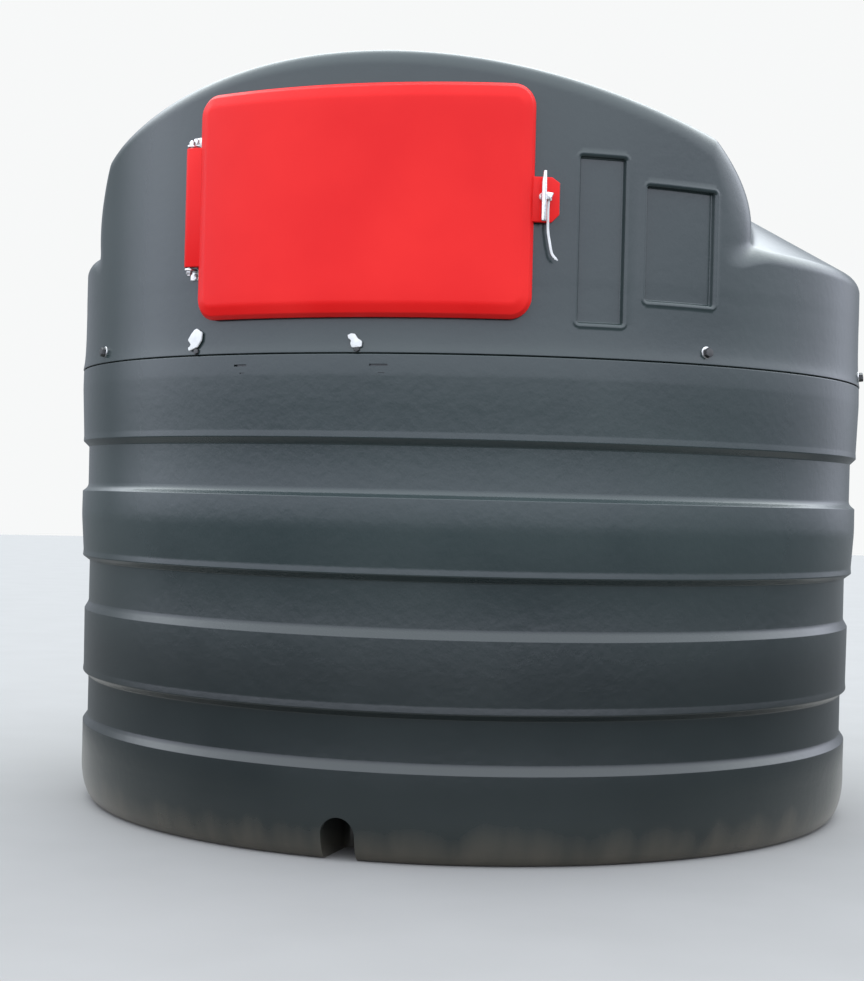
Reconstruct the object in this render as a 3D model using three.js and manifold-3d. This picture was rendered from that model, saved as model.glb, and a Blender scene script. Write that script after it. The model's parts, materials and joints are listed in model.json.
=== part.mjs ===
// Bunded vertical storage tank: ribbed round bund, conical cover, arched hood
// and a curved cabinet door hung on a vertical pin.
//
// Millimetres, +Z up. The origin is on the tank's axis at ground level. The door
// faces -Y. An azimuth is an angle in degrees about +Z from -Y, positive towards +X.

import * as THREE from "three";
import { mergeVertices } from "three/addons/utils/BufferGeometryUtils.js";
import Module from "manifold-3d";

const wasm = await Module();
wasm.setup();

// Moulding
const WALL = 12; // polyethylene wall thickness
const GAP = 0.3; // gap between pieces that touch
const ROUND_STEPS = 72; // flats round the tank
const FAR = 3000; // reach of the blocks that only cut

// Bund, the lower outer tank
const FLOOR_R = 1060; // radius of the flat floor plate
const FOOT_R = 1085; // radius where the rounded foot leaves the ground
const FOOT_TOP = 110; // height of the rounded foot, a quarter ellipse
const BASE_BAND_R = 1127.5; // radii of the four bands, from the ground up
const LOW_BAND_R = 1132;
const MID_BAND_R = 1147;
const MID_BAND_FOOT_R = 1137; // the middle band widens upwards from this radius
const TOP_BAND_R = 1151;
const LOW_RECESS_R = 1115; // radii of the recesses between them
const MID_RECESS_R = 1120;
const HIGH_RECESS_R = 1129;
const BASE_BAND_TOP = 234; // heights of the band edges
const LOW_BAND_BOTTOM = 359;
const LOW_BAND_TOP = 563;
const MID_BAND_BOTTOM = 690;
const MID_BAND_FULL = 830; // height where the middle band reaches its radius
const MID_BAND_TOP = 897;
const TOP_BAND_BOTTOM = 1027;
const BUND_TOP = 1229;
const LEDGE = 9; // half the height of each sloped ledge
const RIM_R_IN = 1064; // inner radius of the rim that carries the cover
const LAND_R = 1140; // radius of the rim's raised land, on which the cover stands

// Arched recess at the foot of the front
const ARCH_WIDTH = 86;
const ARCH_HEIGHT = 108;
const ARCH_DEPTH = 180;

// Cover
const COVER_R = 1148;
const COVER_BOTTOM = 1236;
const CORNER_R = 55; // radius of the corner between the skirt and the cone
const CONE_SLOPE = 30; // degrees above level
const CONE_EDGE_Z = 1532; // height of the cone's line at the skirt's radius
const CROWN_FROM_R = 850; // radius where the cone turns into its round crown
const CROWN_STEPS = 6;

// Hood
const HOOD_TURN = 0.5; // degrees by which it is turned about the axis
const HOOD_AZ = 52.4; // azimuth from its middle where the front wall meets the skirt
const VAULT_R = 2080; // radius of the arched roof
const VAULT_TOP = 1977;
const VAULT_STEPS = 24; // flats across it
const ROOF_BEVEL = 34; // bevel between the roof and the front wall, along each of them
const HOOD_TAPER = 8; // degrees by which each side runs in towards the back
const HOOD_BACK_Y = 350; // place of the hood's back wall at the roof
const HOOD_BACK_LEAN = 30; // degrees by which the back wall leans in
const HOOD_CORNER = [ // azimuth and height of three points up the front corner
  [52.2, 1540],
  [51.6, 1665],
  [47, 1795],
];

// Door opening and cabinet
const OPENING_AZ = 19.6; // half width of the opening
const OPENING_BOTTOM = 1358;
const OPENING_TOP = 1852;
const CABINET_HALF = 385; // half width inside
const CABINET_BACK_Y = -700;

// Door
const DOOR_CENTRE = 0.6; // the door laps further over the opening on its latch side
const DOOR_AZ = 21.8; // half width of the door
const DOOR_LEFT = DOOR_CENTRE - DOOR_AZ;
const DOOR_RIGHT = DOOR_CENTRE + DOOR_AZ;
const DOOR_BOTTOM = 1322;
const DOOR_TOP = 1887;
const DOOR_R_IN = 1153.5;
const DOOR_R_OUT = 1180;
const DOOR_BEVEL = 34; // height of the bevel along the edges
const DOOR_BEVEL_DEPTH = 16;
const DOOR_CORNER = 55; // corner radius seen from the front

// Hinge
const HINGE_AZ = -22.5;
const HINGE_R = 1168;
const KNUCKLE_R = 13;
const PIN_R = 5;
const BORE_R = 6;
const LEAF_BOTTOM = 1467;
const LEAF_TOP = 1763;
const LEAF_THICKNESS = 10;
const PLAY = 2; // between the knuckle and each ear
const BRACKET_WIDTH = 30;
const BRACKET_HEIGHT = 20;
const PLATE = 4; // thickness of a bracket's plate
const EAR = 6; // thickness of a bracket's ear
const EAR_INSET = 2; // from each end of its plate

// Latch
const TAB_AZ = 25.3; // outer edge of the latch tab
const TAB_BOTTOM = 1551;
const TAB_TOP = 1664;
const TAB_THICKNESS = 12;
const BAR_AZ = 23.6;
const BAR_BOTTOM = 1556;
const BAR_TOP = 1677;
const BAR_SIZE = 12;
const BAR_STAND_OFF = 20; // from the tab's face to the bar's centre
const SPINDLE_Z = 1622;
const SPINDLE_LENGTH = 32;
const TIE_WIDTH = 4;
const TIE_THICKNESS = 2.4;

// Sunk panels beside the door: azimuth from, azimuth to, bottom, top
const PANELS = [
  [27.7, 34.3, 1320, 1725],
  [36.7, 47.2, 1384, 1663],
];
const PANEL_DEPTH = 14;
const PANEL_LAP = 0.6; // degrees by which the wall behind a panel reaches past it

const rad = THREE.MathUtils.degToRad;
const at = (az, r) => [r * Math.sin(rad(az)), -r * Math.cos(rad(az))];

// Colours
const slate = { color: 0x5c636b, roughness: 0.55, metalness: 0 };
const red = { color: 0xb81d20, roughness: 0.38, metalness: 0 };
const zinc = { color: 0xc9cbcc, roughness: 0.4, metalness: 0.8 };
const white = { color: 0xe6e6e2, roughness: 0.5, metalness: 0 };

// A closed geometry as a solid for joining and cutting
function solid(geometry) {
  const bare = new THREE.BufferGeometry();
  const flat = geometry.index ? geometry.toNonIndexed() : geometry;
  bare.setAttribute("position", flat.getAttribute("position"));
  const merged = mergeVertices(bare, 1e-3);
  return new wasm.Manifold(
    new wasm.Mesh({
      numProp: 3,
      vertProperties: new Float32Array(merged.attributes.position.array),
      triVerts: new Uint32Array(merged.index.array),
    }),
  );
}

// Full ring or disc turned from a closed outline of [radius, height] points
function turned(outline, steps = ROUND_STEPS) {
  const points = outline.map(([r, z]) => new THREE.Vector2(r, z));
  if (outline[0][0] !== 0) points.push(points[0].clone());
  return solid(new THREE.LatheGeometry(points, steps).rotateX(Math.PI / 2));
}

// Round shell between two radii and two heights
function ring(inner, outer, bottom, top) {
  return turned([
    [inner, bottom],
    [outer, bottom],
    [outer, top],
    [inner, top],
  ]);
}

const coverWall = (top) => ring(COVER_R - WALL, COVER_R, COVER_BOTTOM, top);

function disc(radius, bottom, top) {
  return turned([
    [0, bottom],
    [radius, bottom],
    [radius, top],
    [0, top],
  ]);
}

// Outline in X and Z drawn out along Y, which rises by rise for each millimetre of Y
function prismY(points, y0, y1, rise = 0) {
  const shape = new THREE.Shape(points.map(([x, z]) => new THREE.Vector2(x, z)));
  const made = new THREE.ExtrudeGeometry(shape, { depth: y1 - y0, bevelEnabled: false });
  made.rotateX(Math.PI / 2).translate(0, y1, 0);
  return solid(made.applyMatrix4(new THREE.Matrix4().makeShear(0, 0, 0, rise, 0, 0)));
}

function block(x0, x1, y0, y1, z0, z1) {
  const box = new THREE.BoxGeometry(x1 - x0, y1 - y0, z1 - z0);
  return solid(box.translate((x0 + x1) / 2, (y0 + y1) / 2, (z0 + z1) / 2));
}

// Wedge about the axis between two azimuths, its faces drawn in by half a gap
function sector(from, to) {
  const middle = (from + to) / 2;
  const half = (to - from) / 2;
  const shift = GAP / 2 / Math.sin(rad(half));
  const [sx, sy] = at(middle, shift);
  const arcs = Math.ceil((to - from) / 30);
  const rim = Array.from({ length: arcs + 1 }, (_, i) => at(from + ((to - from) * i) / arcs, FAR));
  const shape = new THREE.Shape([[0, 0], ...rim].map(([x, y]) => new THREE.Vector2(x + sx, y + sy)));
  return solid(new THREE.ExtrudeGeometry(shape, { depth: FAR, bevelEnabled: false }).translate(0, 0, -1));
}

// Everything behind a plane: the plane goes through point, and normal points away from it
function behind(point, normal, inset = 0) {
  const size = 2 * FAR;
  const n = new THREE.Vector3(...normal).normalize();
  const box = new THREE.BoxGeometry(size, size, size).translate(0, 0, -size / 2);
  box.applyQuaternion(new THREE.Quaternion().setFromUnitVectors(new THREE.Vector3(0, 0, 1), n));
  const place = new THREE.Vector3(...point).addScaledVector(n, -inset);
  return solid(box.translate(place.x, place.y, place.z));
}

// Points of an arc in an outline
function arc(cx, cy, r, from, to, steps) {
  return Array.from({ length: steps + 1 }, (_, i) => {
    const a = rad(from + ((to - from) * i) / steps);
    return [cx + r * Math.cos(a), cy + r * Math.sin(a)];
  });
}

const group = new THREE.Group();

function add(name, shape, look) {
  const mesh = shape.getMesh();
  const geometry = new THREE.BufferGeometry();
  geometry.setAttribute("position", new THREE.BufferAttribute(mesh.vertProperties, 3));
  geometry.setIndex(new THREE.BufferAttribute(mesh.triVerts, 1));
  geometry.computeVertexNormals();
  const made = new THREE.Mesh(geometry, new THREE.MeshStandardMaterial(look));
  made.name = name;
  group.add(made);
}

// Bund

// Quarter ellipse from the ground up to the base band
const roundedFoot = arc(0, 0, 1, 0, 90, 5).map(([drop, out]) => {
  return [FOOT_R + (BASE_BAND_R - FOOT_R) * out, FOOT_TOP * (1 - drop)];
});

// Outer outline of the bund from the foot up to the rim
const bundOutside = [
  ...roundedFoot,
  [BASE_BAND_R, BASE_BAND_TOP - LEDGE],
  [LOW_RECESS_R, BASE_BAND_TOP + LEDGE],
  [LOW_RECESS_R, LOW_BAND_BOTTOM - LEDGE],
  [LOW_BAND_R, LOW_BAND_BOTTOM + LEDGE],
  [LOW_BAND_R, LOW_BAND_TOP - LEDGE],
  [MID_RECESS_R, LOW_BAND_TOP + LEDGE],
  [MID_RECESS_R, MID_BAND_BOTTOM - LEDGE],
  [MID_BAND_FOOT_R, MID_BAND_BOTTOM + LEDGE],
  [MID_BAND_R, MID_BAND_FULL],
  [MID_BAND_R, MID_BAND_TOP - LEDGE],
  [HIGH_RECESS_R, MID_BAND_TOP + LEDGE],
  [HIGH_RECESS_R, TOP_BAND_BOTTOM - LEDGE],
  [TOP_BAND_R, TOP_BAND_BOTTOM + LEDGE],
  [TOP_BAND_R, BUND_TOP - WALL - GAP],
];

const bundInside = [
  [HIGH_RECESS_R - WALL, BUND_TOP - WALL - GAP],
  [HIGH_RECESS_R - WALL, MID_BAND_TOP],
  [MID_RECESS_R - WALL, MID_BAND_BOTTOM],
  [LOW_RECESS_R - WALL, LOW_BAND_BOTTOM],
  [LOW_RECESS_R - WALL, FOOT_TOP],
  [FOOT_R - WALL, WALL],
  [FLOOR_R, WALL],
  [FLOOR_R, 0],
];

const rim = [
  [RIM_R_IN, BUND_TOP - WALL],
  [TOP_BAND_R, BUND_TOP - WALL],
  [TOP_BAND_R, BUND_TOP - WALL / 2],
  [TOP_BAND_R - WALL / 2, BUND_TOP],
  [LAND_R, BUND_TOP],
  [LAND_R, COVER_BOTTOM - GAP],
  [RIM_R_IN, COVER_BOTTOM - GAP],
];

// The mould round the arched recess is a block, and the front wall and the floor stop at it
function bund() {
  const wall = turned([...bundOutside, ...bundInside]);
  ["right", "back", "left"].forEach((side, i) => {
    add("bund_wall_" + side, wall.intersect(sector(90 * i + 45, 90 * i + 135)), slate);
  });
  add("bund_rim", turned(rim), slate);

  const half = ARCH_WIDTH / 2 + WALL;
  const head = ARCH_HEIGHT + WALL;
  const back = -BASE_BAND_R + ARCH_DEPTH;
  const front = wall.intersect(sector(-45, 45));
  const floor = disc(FLOOR_R - GAP, 0, WALL);
  for (const [side, x0, x1] of [["left", -FAR, -half - GAP], ["right", half + GAP, FAR]]) {
    add("bund_wall_front_" + side, front.intersect(block(x0, x1, -FAR, 0, 0, BUND_TOP)), slate);
    const floorBlock = block(x0, x1, -FAR, back + WALL, 0, WALL);
    add("bund_floor_front_" + side, floor.intersect(floorBlock), slate);
  }
  add("bund_wall_front_middle", front.intersect(block(-half, half, -FAR, 0, head + GAP, BUND_TOP)), slate);
  add("bund_floor", floor.intersect(block(-FAR, FAR, back + WALL + GAP, FAR, 0, WALL)), slate);

  const r = ARCH_WIDTH / 2;
  const arch = [[r, -1], ...arc(0, ARCH_HEIGHT - r, r, 0, 180, 12), [-r, -1]];
  const filled = turned([[0, 0], ...bundOutside, [0, BUND_TOP]]);
  const mould = block(-half, half, -FAR, back + WALL, 0, head).intersect(filled);
  add("base_arch_recess", mould.subtract(prismY(arch, -FAR, back)), slate);
}

// Cover

const coneTan = Math.tan(rad(CONE_SLOPE));
const coneZ = (r) => CONE_EDGE_Z + (COVER_R - r) * coneTan;
const crownR = CROWN_FROM_R / Math.sin(rad(CONE_SLOPE));
const crownZ = coneZ(CROWN_FROM_R) - crownR * Math.cos(rad(CONE_SLOPE)); // its centre

// Height where the corner between the skirt and the cone starts
const skirtTop = CONE_EDGE_Z - CORNER_R * Math.tan(rad((90 - CONE_SLOPE) / 2));

// Crown's line from the cone to the axis, raised by lift
function crown(lift) {
  const round = arc(0, crownZ, crownR + lift, 90 - CONE_SLOPE, 90, CROWN_STEPS);
  return [...round.slice(0, -1), [0, crownZ + crownR + lift]];
}

// Everything above the cone's outer face
function aboveCone(lift) {
  const low = coneZ(FAR) + lift / Math.cos(rad(CONE_SLOPE));
  return turned([...crown(lift).reverse(), [FAR, low], [FAR, FAR], [0, FAR]]);
}

const turnedHood = (shape) => shape.rotate([0, 0, HOOD_TURN]);

// Everything below the arched roof, lowered by drop
function belowVault(drop) {
  const r = VAULT_R - drop;
  const half = COVER_R + drop;
  const span = THREE.MathUtils.radToDeg(Math.asin(half / r));
  const top = arc(0, VAULT_TOP - VAULT_R, r, 90 - span, 90 + span, VAULT_STEPS);
  return turnedHood(prismY([[half, -half], ...top, [-half, -half]], -FAR, FAR));
}

// Everything behind the bevel between the roof and the front wall, set in by inset. The
// bevel rises at 45 degrees along Y from a line on the front wall that follows the vault.
function behindBevel(inset) {
  const drop = ROOF_BEVEL + inset * Math.SQRT2;
  const half = corner[0].x + 100;
  const top = Array.from({ length: VAULT_STEPS + 1 }, (_, i) => {
    const x = half - (2 * half * i) / VAULT_STEPS;
    const vaultZ = VAULT_TOP - VAULT_R + Math.sqrt(VAULT_R ** 2 - x ** 2);
    return [x, vaultZ + Math.sqrt(COVER_R ** 2 - x ** 2) - drop];
  });
  return turnedHood(prismY([[half, -FAR], ...top, [-half, -FAR]], -FAR, FAR, 1));
}

const corner = HOOD_CORNER.map(([az, z]) => new THREE.Vector3(...at(az, COVER_R), z));
const inward = new THREE.Vector3(-Math.sin(rad(HOOD_TAPER)), Math.cos(rad(HOOD_TAPER)), 0);
const backNormal = [0, Math.cos(rad(HOOD_BACK_LEAN)), Math.sin(rad(HOOD_BACK_LEAN))];

// Everything behind one side of the hood, which is two flats that meet at the corner's middle point
function insideSide(side, inset) {
  const [low, high] = [0, 1].map((i) => {
    const line = corner[i + 1].clone().sub(corner[i]);
    const n = line.cross(inward).negate();
    return behind([side * corner[1].x, corner[1].y, corner[1].z], [side * n.x, n.y, n.z], inset);
  });
  return turnedHood(low.intersect(high));
}

const insideBack = (inset) => turnedHood(behind([0, HOOD_BACK_Y, VAULT_TOP], backNormal, inset));
const insideCover = disc(COVER_R - WALL - GAP, 0, FAR);

function insideHood(inset) {
  return insideSide(1, inset).intersect(insideSide(-1, inset)).intersect(insideBack(inset));
}

function frontWall() {
  const under = belowVault(WALL + GAP).intersect(behindBevel(WALL + GAP));
  const shaped = coverWall(FAR).intersect(under).intersect(insideHood(0));
  const middle = shaped.intersect(sector(-OPENING_AZ, OPENING_AZ));
  const trim = (bottom, top) => block(-FAR, FAR, -FAR, 0, bottom, top);
  add("front_sill", middle.intersect(trim(0, OPENING_BOTTOM)), slate);
  add("front_header", middle.intersect(trim(OPENING_TOP, FAR)), slate);
  add("front_wall_left", shaped.intersect(sector(HOOD_TURN - HOOD_AZ, -OPENING_AZ)), slate);
  let right = shaped.intersect(sector(OPENING_AZ, HOOD_TURN + HOOD_AZ));
  for (const [from, to, bottom, top] of PANELS) {
    const outer = COVER_R - PANEL_DEPTH;
    const back = ring(outer - WALL, COVER_R - WALL / 2, bottom - WALL, top + WALL);
    right = right.add(back.intersect(sector(from - PANEL_LAP, to + PANEL_LAP)));
    right = right.subtract(ring(outer, COVER_R + 50, bottom, top).intersect(sector(from, to)));
  }
  add("front_wall_right", right, slate);
}

function skirtAndCone() {
  const skirt = coverWall(skirtTop - GAP);
  const turn = 90 - CONE_SLOPE;
  const outer = arc(COVER_R - CORNER_R, skirtTop, CORNER_R, 0, turn, 4);
  const inner = arc(COVER_R - CORNER_R, skirtTop, CORNER_R - WALL, turn, 0, 4);
  const cone = turned([...crown(-WALL).reverse(), ...inner, ...outer, ...crown(0)]);
  const hoodRoom = insideHood(WALL + 40);
  const parts = [
    ["right", HOOD_TURN + HOOD_AZ, 115],
    ["back", 115, 245],
    ["left", 245, 360 + HOOD_TURN - HOOD_AZ],
  ];
  for (const [name, from, to] of parts) {
    add("cover_skirt_" + name, skirt.intersect(sector(from, to)), slate);
    add("cone_roof_" + name, cone.intersect(sector(from, to)).subtract(hoodRoom), slate);
  }
}

function hood() {
  const underRoof = (drop) => belowVault(drop).intersect(behindBevel(drop));
  const roof = underRoof(0).subtract(underRoof(WALL));
  add("hood_roof", roof.intersect(insideHood(0)).intersect(disc(COVER_R, 0, FAR)), slate);
  const room = aboveCone(GAP).intersect(underRoof(WALL + GAP)).intersect(insideCover);
  for (const [name, side] of [["right", 1], ["left", -1]]) {
    const slab = insideSide(side, 0).subtract(insideSide(side, WALL));
    add("hood_side_" + name, slab.intersect(room).intersect(insideBack(WALL + GAP)), slate);
  }
  const back = insideBack(0).subtract(insideBack(WALL));
  const between = insideSide(1, 0).intersect(insideSide(-1, 0));
  add("hood_back", back.intersect(room).intersect(between), slate);
}

function cabinet() {
  const half = CABINET_HALF;
  const bottom = OPENING_BOTTOM - WALL;
  const top = OPENING_TOP + WALL;
  const y = CABINET_BACK_Y;
  const plates = {
    cabinet_floor: [-half + GAP, half - GAP, bottom, OPENING_BOTTOM],
    cabinet_top: [-half + GAP, half - GAP, OPENING_TOP, top],
    cabinet_side_right: [half, half + WALL, bottom, top],
    cabinet_side_left: [-half - WALL, -half, bottom, top],
  };
  for (const [name, [x0, x1, z0, z1]] of Object.entries(plates)) {
    add(name, block(x0, x1, -COVER_R, y - GAP, z0, z1).intersect(insideCover), slate);
  }
  add("cabinet_back", block(-half - WALL, half + WALL, y, y + WALL, bottom, top), slate);
}

// Door

// Bar in the frame of the wall at azimuth az: across it, out from the axis, and up
function barAt(az, x0, x1, r0, r1, bottom, top) {
  const box = new THREE.BoxGeometry(x1 - x0, r1 - r0, top - bottom);
  box.translate((x0 + x1) / 2, -(r0 + r1) / 2, (bottom + top) / 2);
  return solid(box.rotateZ(rad(az)));
}

const [hingeX, hingeY] = at(HINGE_AZ, HINGE_R);

// Upright round bar
function upright(radius, bottom, top, x, y, sides = 16) {
  const made = new THREE.CylinderGeometry(radius, radius, top - bottom, sides);
  return solid(made.rotateX(Math.PI / 2).translate(x, y, (bottom + top) / 2));
}

function door() {
  const profile = [
    [DOOR_R_IN, DOOR_BOTTOM],
    [DOOR_R_OUT - DOOR_BEVEL_DEPTH, DOOR_BOTTOM],
    [DOOR_R_OUT, DOOR_BOTTOM + DOOR_BEVEL],
    [DOOR_R_OUT, DOOR_TOP - DOOR_BEVEL],
    [DOOR_R_OUT - DOOR_BEVEL_DEPTH, DOOR_TOP],
    [DOOR_R_IN, DOOR_TOP],
  ];
  const [left] = at(DOOR_LEFT, DOOR_R_OUT);
  const [right] = at(DOOR_RIGHT, DOOR_R_OUT);
  const c = DOOR_CORNER;
  const outline = [
    ...arc(right - c, DOOR_TOP - c, c, 0, 90, 6),
    ...arc(left + c, DOOR_TOP - c, c, 90, 180, 6),
    ...arc(left + c, DOOR_BOTTOM + c, c, 180, 270, 6),
    ...arc(right - c, DOOR_BOTTOM + c, c, 270, 360, 6),
  ];
  let panel = turned(profile).intersect(sector(DOOR_LEFT, DOOR_RIGHT));
  panel = panel.intersect(prismY(outline, -FAR, 0));
  const slope = THREE.MathUtils.radToDeg(Math.atan2(DOOR_BEVEL_DEPTH, DOOR_BEVEL));
  for (const [edge, facing] of [[DOOR_LEFT, DOOR_LEFT - slope], [DOOR_RIGHT, DOOR_RIGHT + slope]]) {
    panel = panel.intersect(behind([...at(edge, DOOR_R_OUT - DOOR_BEVEL_DEPTH), 0], [...at(facing, 1), 0]));
  }
  add("door_panel", panel, red);
}

function hinge() {
  const strip = ring(DOOR_R_IN, DOOR_R_IN + LEAF_THICKNESS, LEAF_BOTTOM, LEAF_TOP);
  const leaf = strip.intersect(sector(HINGE_AZ, DOOR_LEFT));
  const knuckle = upright(KNUCKLE_R, LEAF_BOTTOM, LEAF_TOP, hingeX, hingeY);
  const bore = upright(BORE_R, LEAF_BOTTOM - 1, LEAF_TOP + 1, hingeX, hingeY);
  add("door_hinge_leaf", leaf.add(knuckle).subtract(bore), red);
  const upper = LEAF_TOP + PLAY;
  const lower = LEAF_BOTTOM - PLAY;
  const reach = HINGE_R - COVER_R + KNUCKLE_R - PLAY;
  add("hinge_pin", upright(PIN_R, lower + GAP, upper - GAP, hingeX, hingeY), zinc);
  for (const [name, bottom, top, earBottom] of [
    ["upper", upper, upper + BRACKET_HEIGHT, upper],
    ["lower", lower - BRACKET_HEIGHT, lower, lower - EAR],
  ]) {
    const half = BRACKET_WIDTH / 2;
    const face = COVER_R * Math.cos(Math.PI / ROUND_STEPS) + GAP; // the wall's flat behind it
    const plate = barAt(HINGE_AZ, -half, half, face, face + PLATE, bottom, top);
    const earHalf = half - EAR_INSET;
    const ear = barAt(HINGE_AZ, -earHalf, earHalf, face + 1, COVER_R + reach, earBottom, earBottom + EAR);
    add("hinge_bracket_" + name, plate.add(ear), zinc);
  }
}

function latch() {
  const tabR = DOOR_R_IN + TAB_THICKNESS;
  const tab = ring(DOOR_R_IN, tabR, TAB_BOTTOM, TAB_TOP).intersect(sector(DOOR_RIGHT, TAB_AZ));
  add("door_latch_tab", tab, red);
  const barR = tabR + BAR_STAND_OFF;
  const half = BAR_SIZE / 2;
  const bar = barAt(BAR_AZ, -half, half, barR - half, barR + half, BAR_BOTTOM, BAR_TOP);
  const low = SPINDLE_Z - half;
  const spindle = barAt(BAR_AZ, -half, SPINDLE_LENGTH - half, tabR + GAP, barR, low, low + BAR_SIZE);
  add("latch_bar", bar.add(spindle), zinc);
  const hang = low - GAP;
  const tail = [[22, 0], [23, -60], [25, -95], [31, -122], [44, -148]].map(([x, z]) => {
    return new THREE.Vector3(x, -tabR - 8, hang + z);
  });
  const section = new THREE.Shape();
  section.moveTo(-TIE_WIDTH / 2, -TIE_THICKNESS / 2);
  section.lineTo(TIE_WIDTH / 2, -TIE_THICKNESS / 2);
  section.lineTo(TIE_WIDTH / 2, TIE_THICKNESS / 2);
  section.lineTo(-TIE_WIDTH / 2, TIE_THICKNESS / 2);
  const path = new THREE.CatmullRomCurve3(tail);
  const strip = new THREE.ExtrudeGeometry(section, { steps: 12, extrudePath: path, bevelEnabled: false });
  add("latch_tie", solid(strip.rotateZ(rad(BAR_AZ))), white);
}

bund();
frontWall();
skirtAndCone();
hood();
cabinet();
door();
hinge();
latch();

export default group;
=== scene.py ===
# Bunded vertical storage tank: the looks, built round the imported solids
#
# Metres, +Z up, the door faces -Y. An azimuth is an angle in degrees about +Z from
# -Y, positive towards +X. Skins stay within 25 mm of the solids.

import json
import math

import bmesh
import bpy
import numpy as np
from mathutils import Matrix, Vector


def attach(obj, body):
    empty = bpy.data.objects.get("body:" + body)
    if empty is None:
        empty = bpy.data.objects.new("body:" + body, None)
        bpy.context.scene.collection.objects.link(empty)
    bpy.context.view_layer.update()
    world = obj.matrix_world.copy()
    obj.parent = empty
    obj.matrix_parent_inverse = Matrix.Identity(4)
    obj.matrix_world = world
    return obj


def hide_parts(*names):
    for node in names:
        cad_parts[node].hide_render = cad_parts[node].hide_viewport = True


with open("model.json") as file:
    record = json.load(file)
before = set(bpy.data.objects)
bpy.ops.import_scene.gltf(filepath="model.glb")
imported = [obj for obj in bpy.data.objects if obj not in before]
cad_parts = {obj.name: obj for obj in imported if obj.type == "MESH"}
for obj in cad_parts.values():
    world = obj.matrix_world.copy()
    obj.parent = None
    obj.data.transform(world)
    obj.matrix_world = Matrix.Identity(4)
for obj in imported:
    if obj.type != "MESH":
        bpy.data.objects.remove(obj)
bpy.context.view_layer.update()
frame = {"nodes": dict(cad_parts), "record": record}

# Bund outline from the ground up: radius, height, corner radius
FOOT_R = 1.085  # where the rounded foot leaves the ground
BASE_R = 1.129
FOOT_TOP = 0.110
BUND_OUTLINE = [
    (1.1285, 0.150, 0.060),
    (BASE_R, 0.224, 0.003),
    (1.1155, 0.243, 0.022),
    (1.1155, 0.355, 0.005),
    (1.1318, 0.370, 0.005),
    (1.1300, 0.388, 0.040),
    (1.1315, 0.549, 0.003),
    (1.1200, 0.569, 0.022),
    (1.1200, 0.687, 0.005),
    (1.1400, 0.702, 0.005),
    (1.1385, 0.718, 0.040),
    (1.1455, 0.820, 0.400),
    (1.1450, 0.888, 0.003),
    (1.1290, 0.901, 0.022),
    (1.1295, 1.016, 0.005),
    (1.1460, 1.032, 0.005),
    (1.1450, 1.048, 0.040),
    (1.1475, 1.110, 0.300),
    (1.1505, 1.185, 0.200),
    (1.1500, 1.2354, 0.004),
]
LAND_R = 1.138  # raised land inside the lip, on which the cover stands
LAND_RISE, LAND_CORNER = 0.0005, 0.001  # from the lip to the land
RIM_R_IN, RIM_THICKNESS = 1.064, 0.019
BUND_INSIDE = [(1.117, 0.95), (1.107, 0.69), (1.102, 0.36), (1.102, 0.12)]  # radius, height
INSIDE_TOP_R = 1.121
PLATE_R = 1.060  # edge of the floor plate, which is a solid of its own
BUND_LIP_R = 1.1525
BUND_WALL = 0.012
BUND_STEPS = 384

# Arched recess at the foot of the front
ARCH_WIDTH = 0.086
ARCH_HEIGHT = 0.108
ARCH_FLARE = 0.0025
ARCH_STEPS = 24
ARCH_FLARE_FROM, ARCH_FLARE_FULL = 0.020, 0.050  # heights; there is no flare at the feet
ARCH_FLARE_PROUD = 0.0005  # of the flare's outer edge in front of the foot
ARCH_FROM_Z = -0.02  # the outline starts below the ground
ARCH_CUT_OUT, ARCH_CUT_IN = -0.05, 0.09  # reach of the cut, along +Y from the face
RECESS_DEPTH, RECESS_WALL, RECESS_ROUND = 0.182, 0.010, 0.018
RECESS_FACE_Y = 0.010 - BASE_R  # its depth counts from here
RECESS_SETBACK, RECESS_MOUTH = 0.008, 0.0006  # of its mouth behind the foot, and how much wider it is
RECESS_MIDDLE, RECESS_DRAFT_MIDDLE, RECESS_DRAFT_END = 0.08, 0.001, 0.003  # it narrows inwards

# Cover
COVER_R = 1.1455
COVER_BOTTOM = 1.2362
COVER_WALL = [  # height and radius of the upright wall, from the lip up the flare
    (1.2375, 1.1522), (1.2480, 1.1500), (1.2620, 1.1480), (1.2800, 1.1467), (1.3000, 1.1459),
    (1.3300, 1.1452), (1.4000, 1.1450), (1.4300, COVER_R),
]
LIP_RADIUS = 0.0020
SHOULDER_RADIUS = 0.045
CONE_SLOPE = math.radians(30)
CONE_EDGE_Z = 1.532  # height of the cone's line at the wall
CROWN_FROM_R = 0.850  # radius where the cone turns into its round crown
RAY_Z = 1.500  # rays above this height start from here, on the axis
RAY_NEAR, RAY_FAR, RAY_HALVINGS = 0.2, 1.6, 34
NORMAL_STEP, OUTLINE_STEP = 0.0008, 1e-4  # for slopes of the skin and of the opening's outline
LIP_INWARD = 0.012  # width of the lip's underside
RIMS_PART_Z = 1.30  # the opening's rim lies above it and the cover's lower rim below it

# Grid of the cover, each row as first, end and step
AZIMUTHS = [(-37.3, 38, 0.7), (62, 298, 1.5)]
AZIMUTHS_AT_CORNERS = [(38, 58, 0.4), (58, 62, 0.8)]  # on both sides
LEVELS = [
    (1.2392, 1.300, 0.005), (1.304, 1.465, 0.012), (1.465, 1.560, 0.005), (1.560, 1.880, 0.0085),
    (1.880, 2.010, 0.0045),
]
FANS, FAN_LAST = [(24.6, 40, 0.8), (40, 89.6, 1.6)], 89.7  # elevations of the rays from RAY_Z
CLEAR_AZIMUTH, CLEAR_LEVEL, CLEAR_FAN = 0.14, 0.0016, 0.004  # degrees, metres, radians

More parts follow.
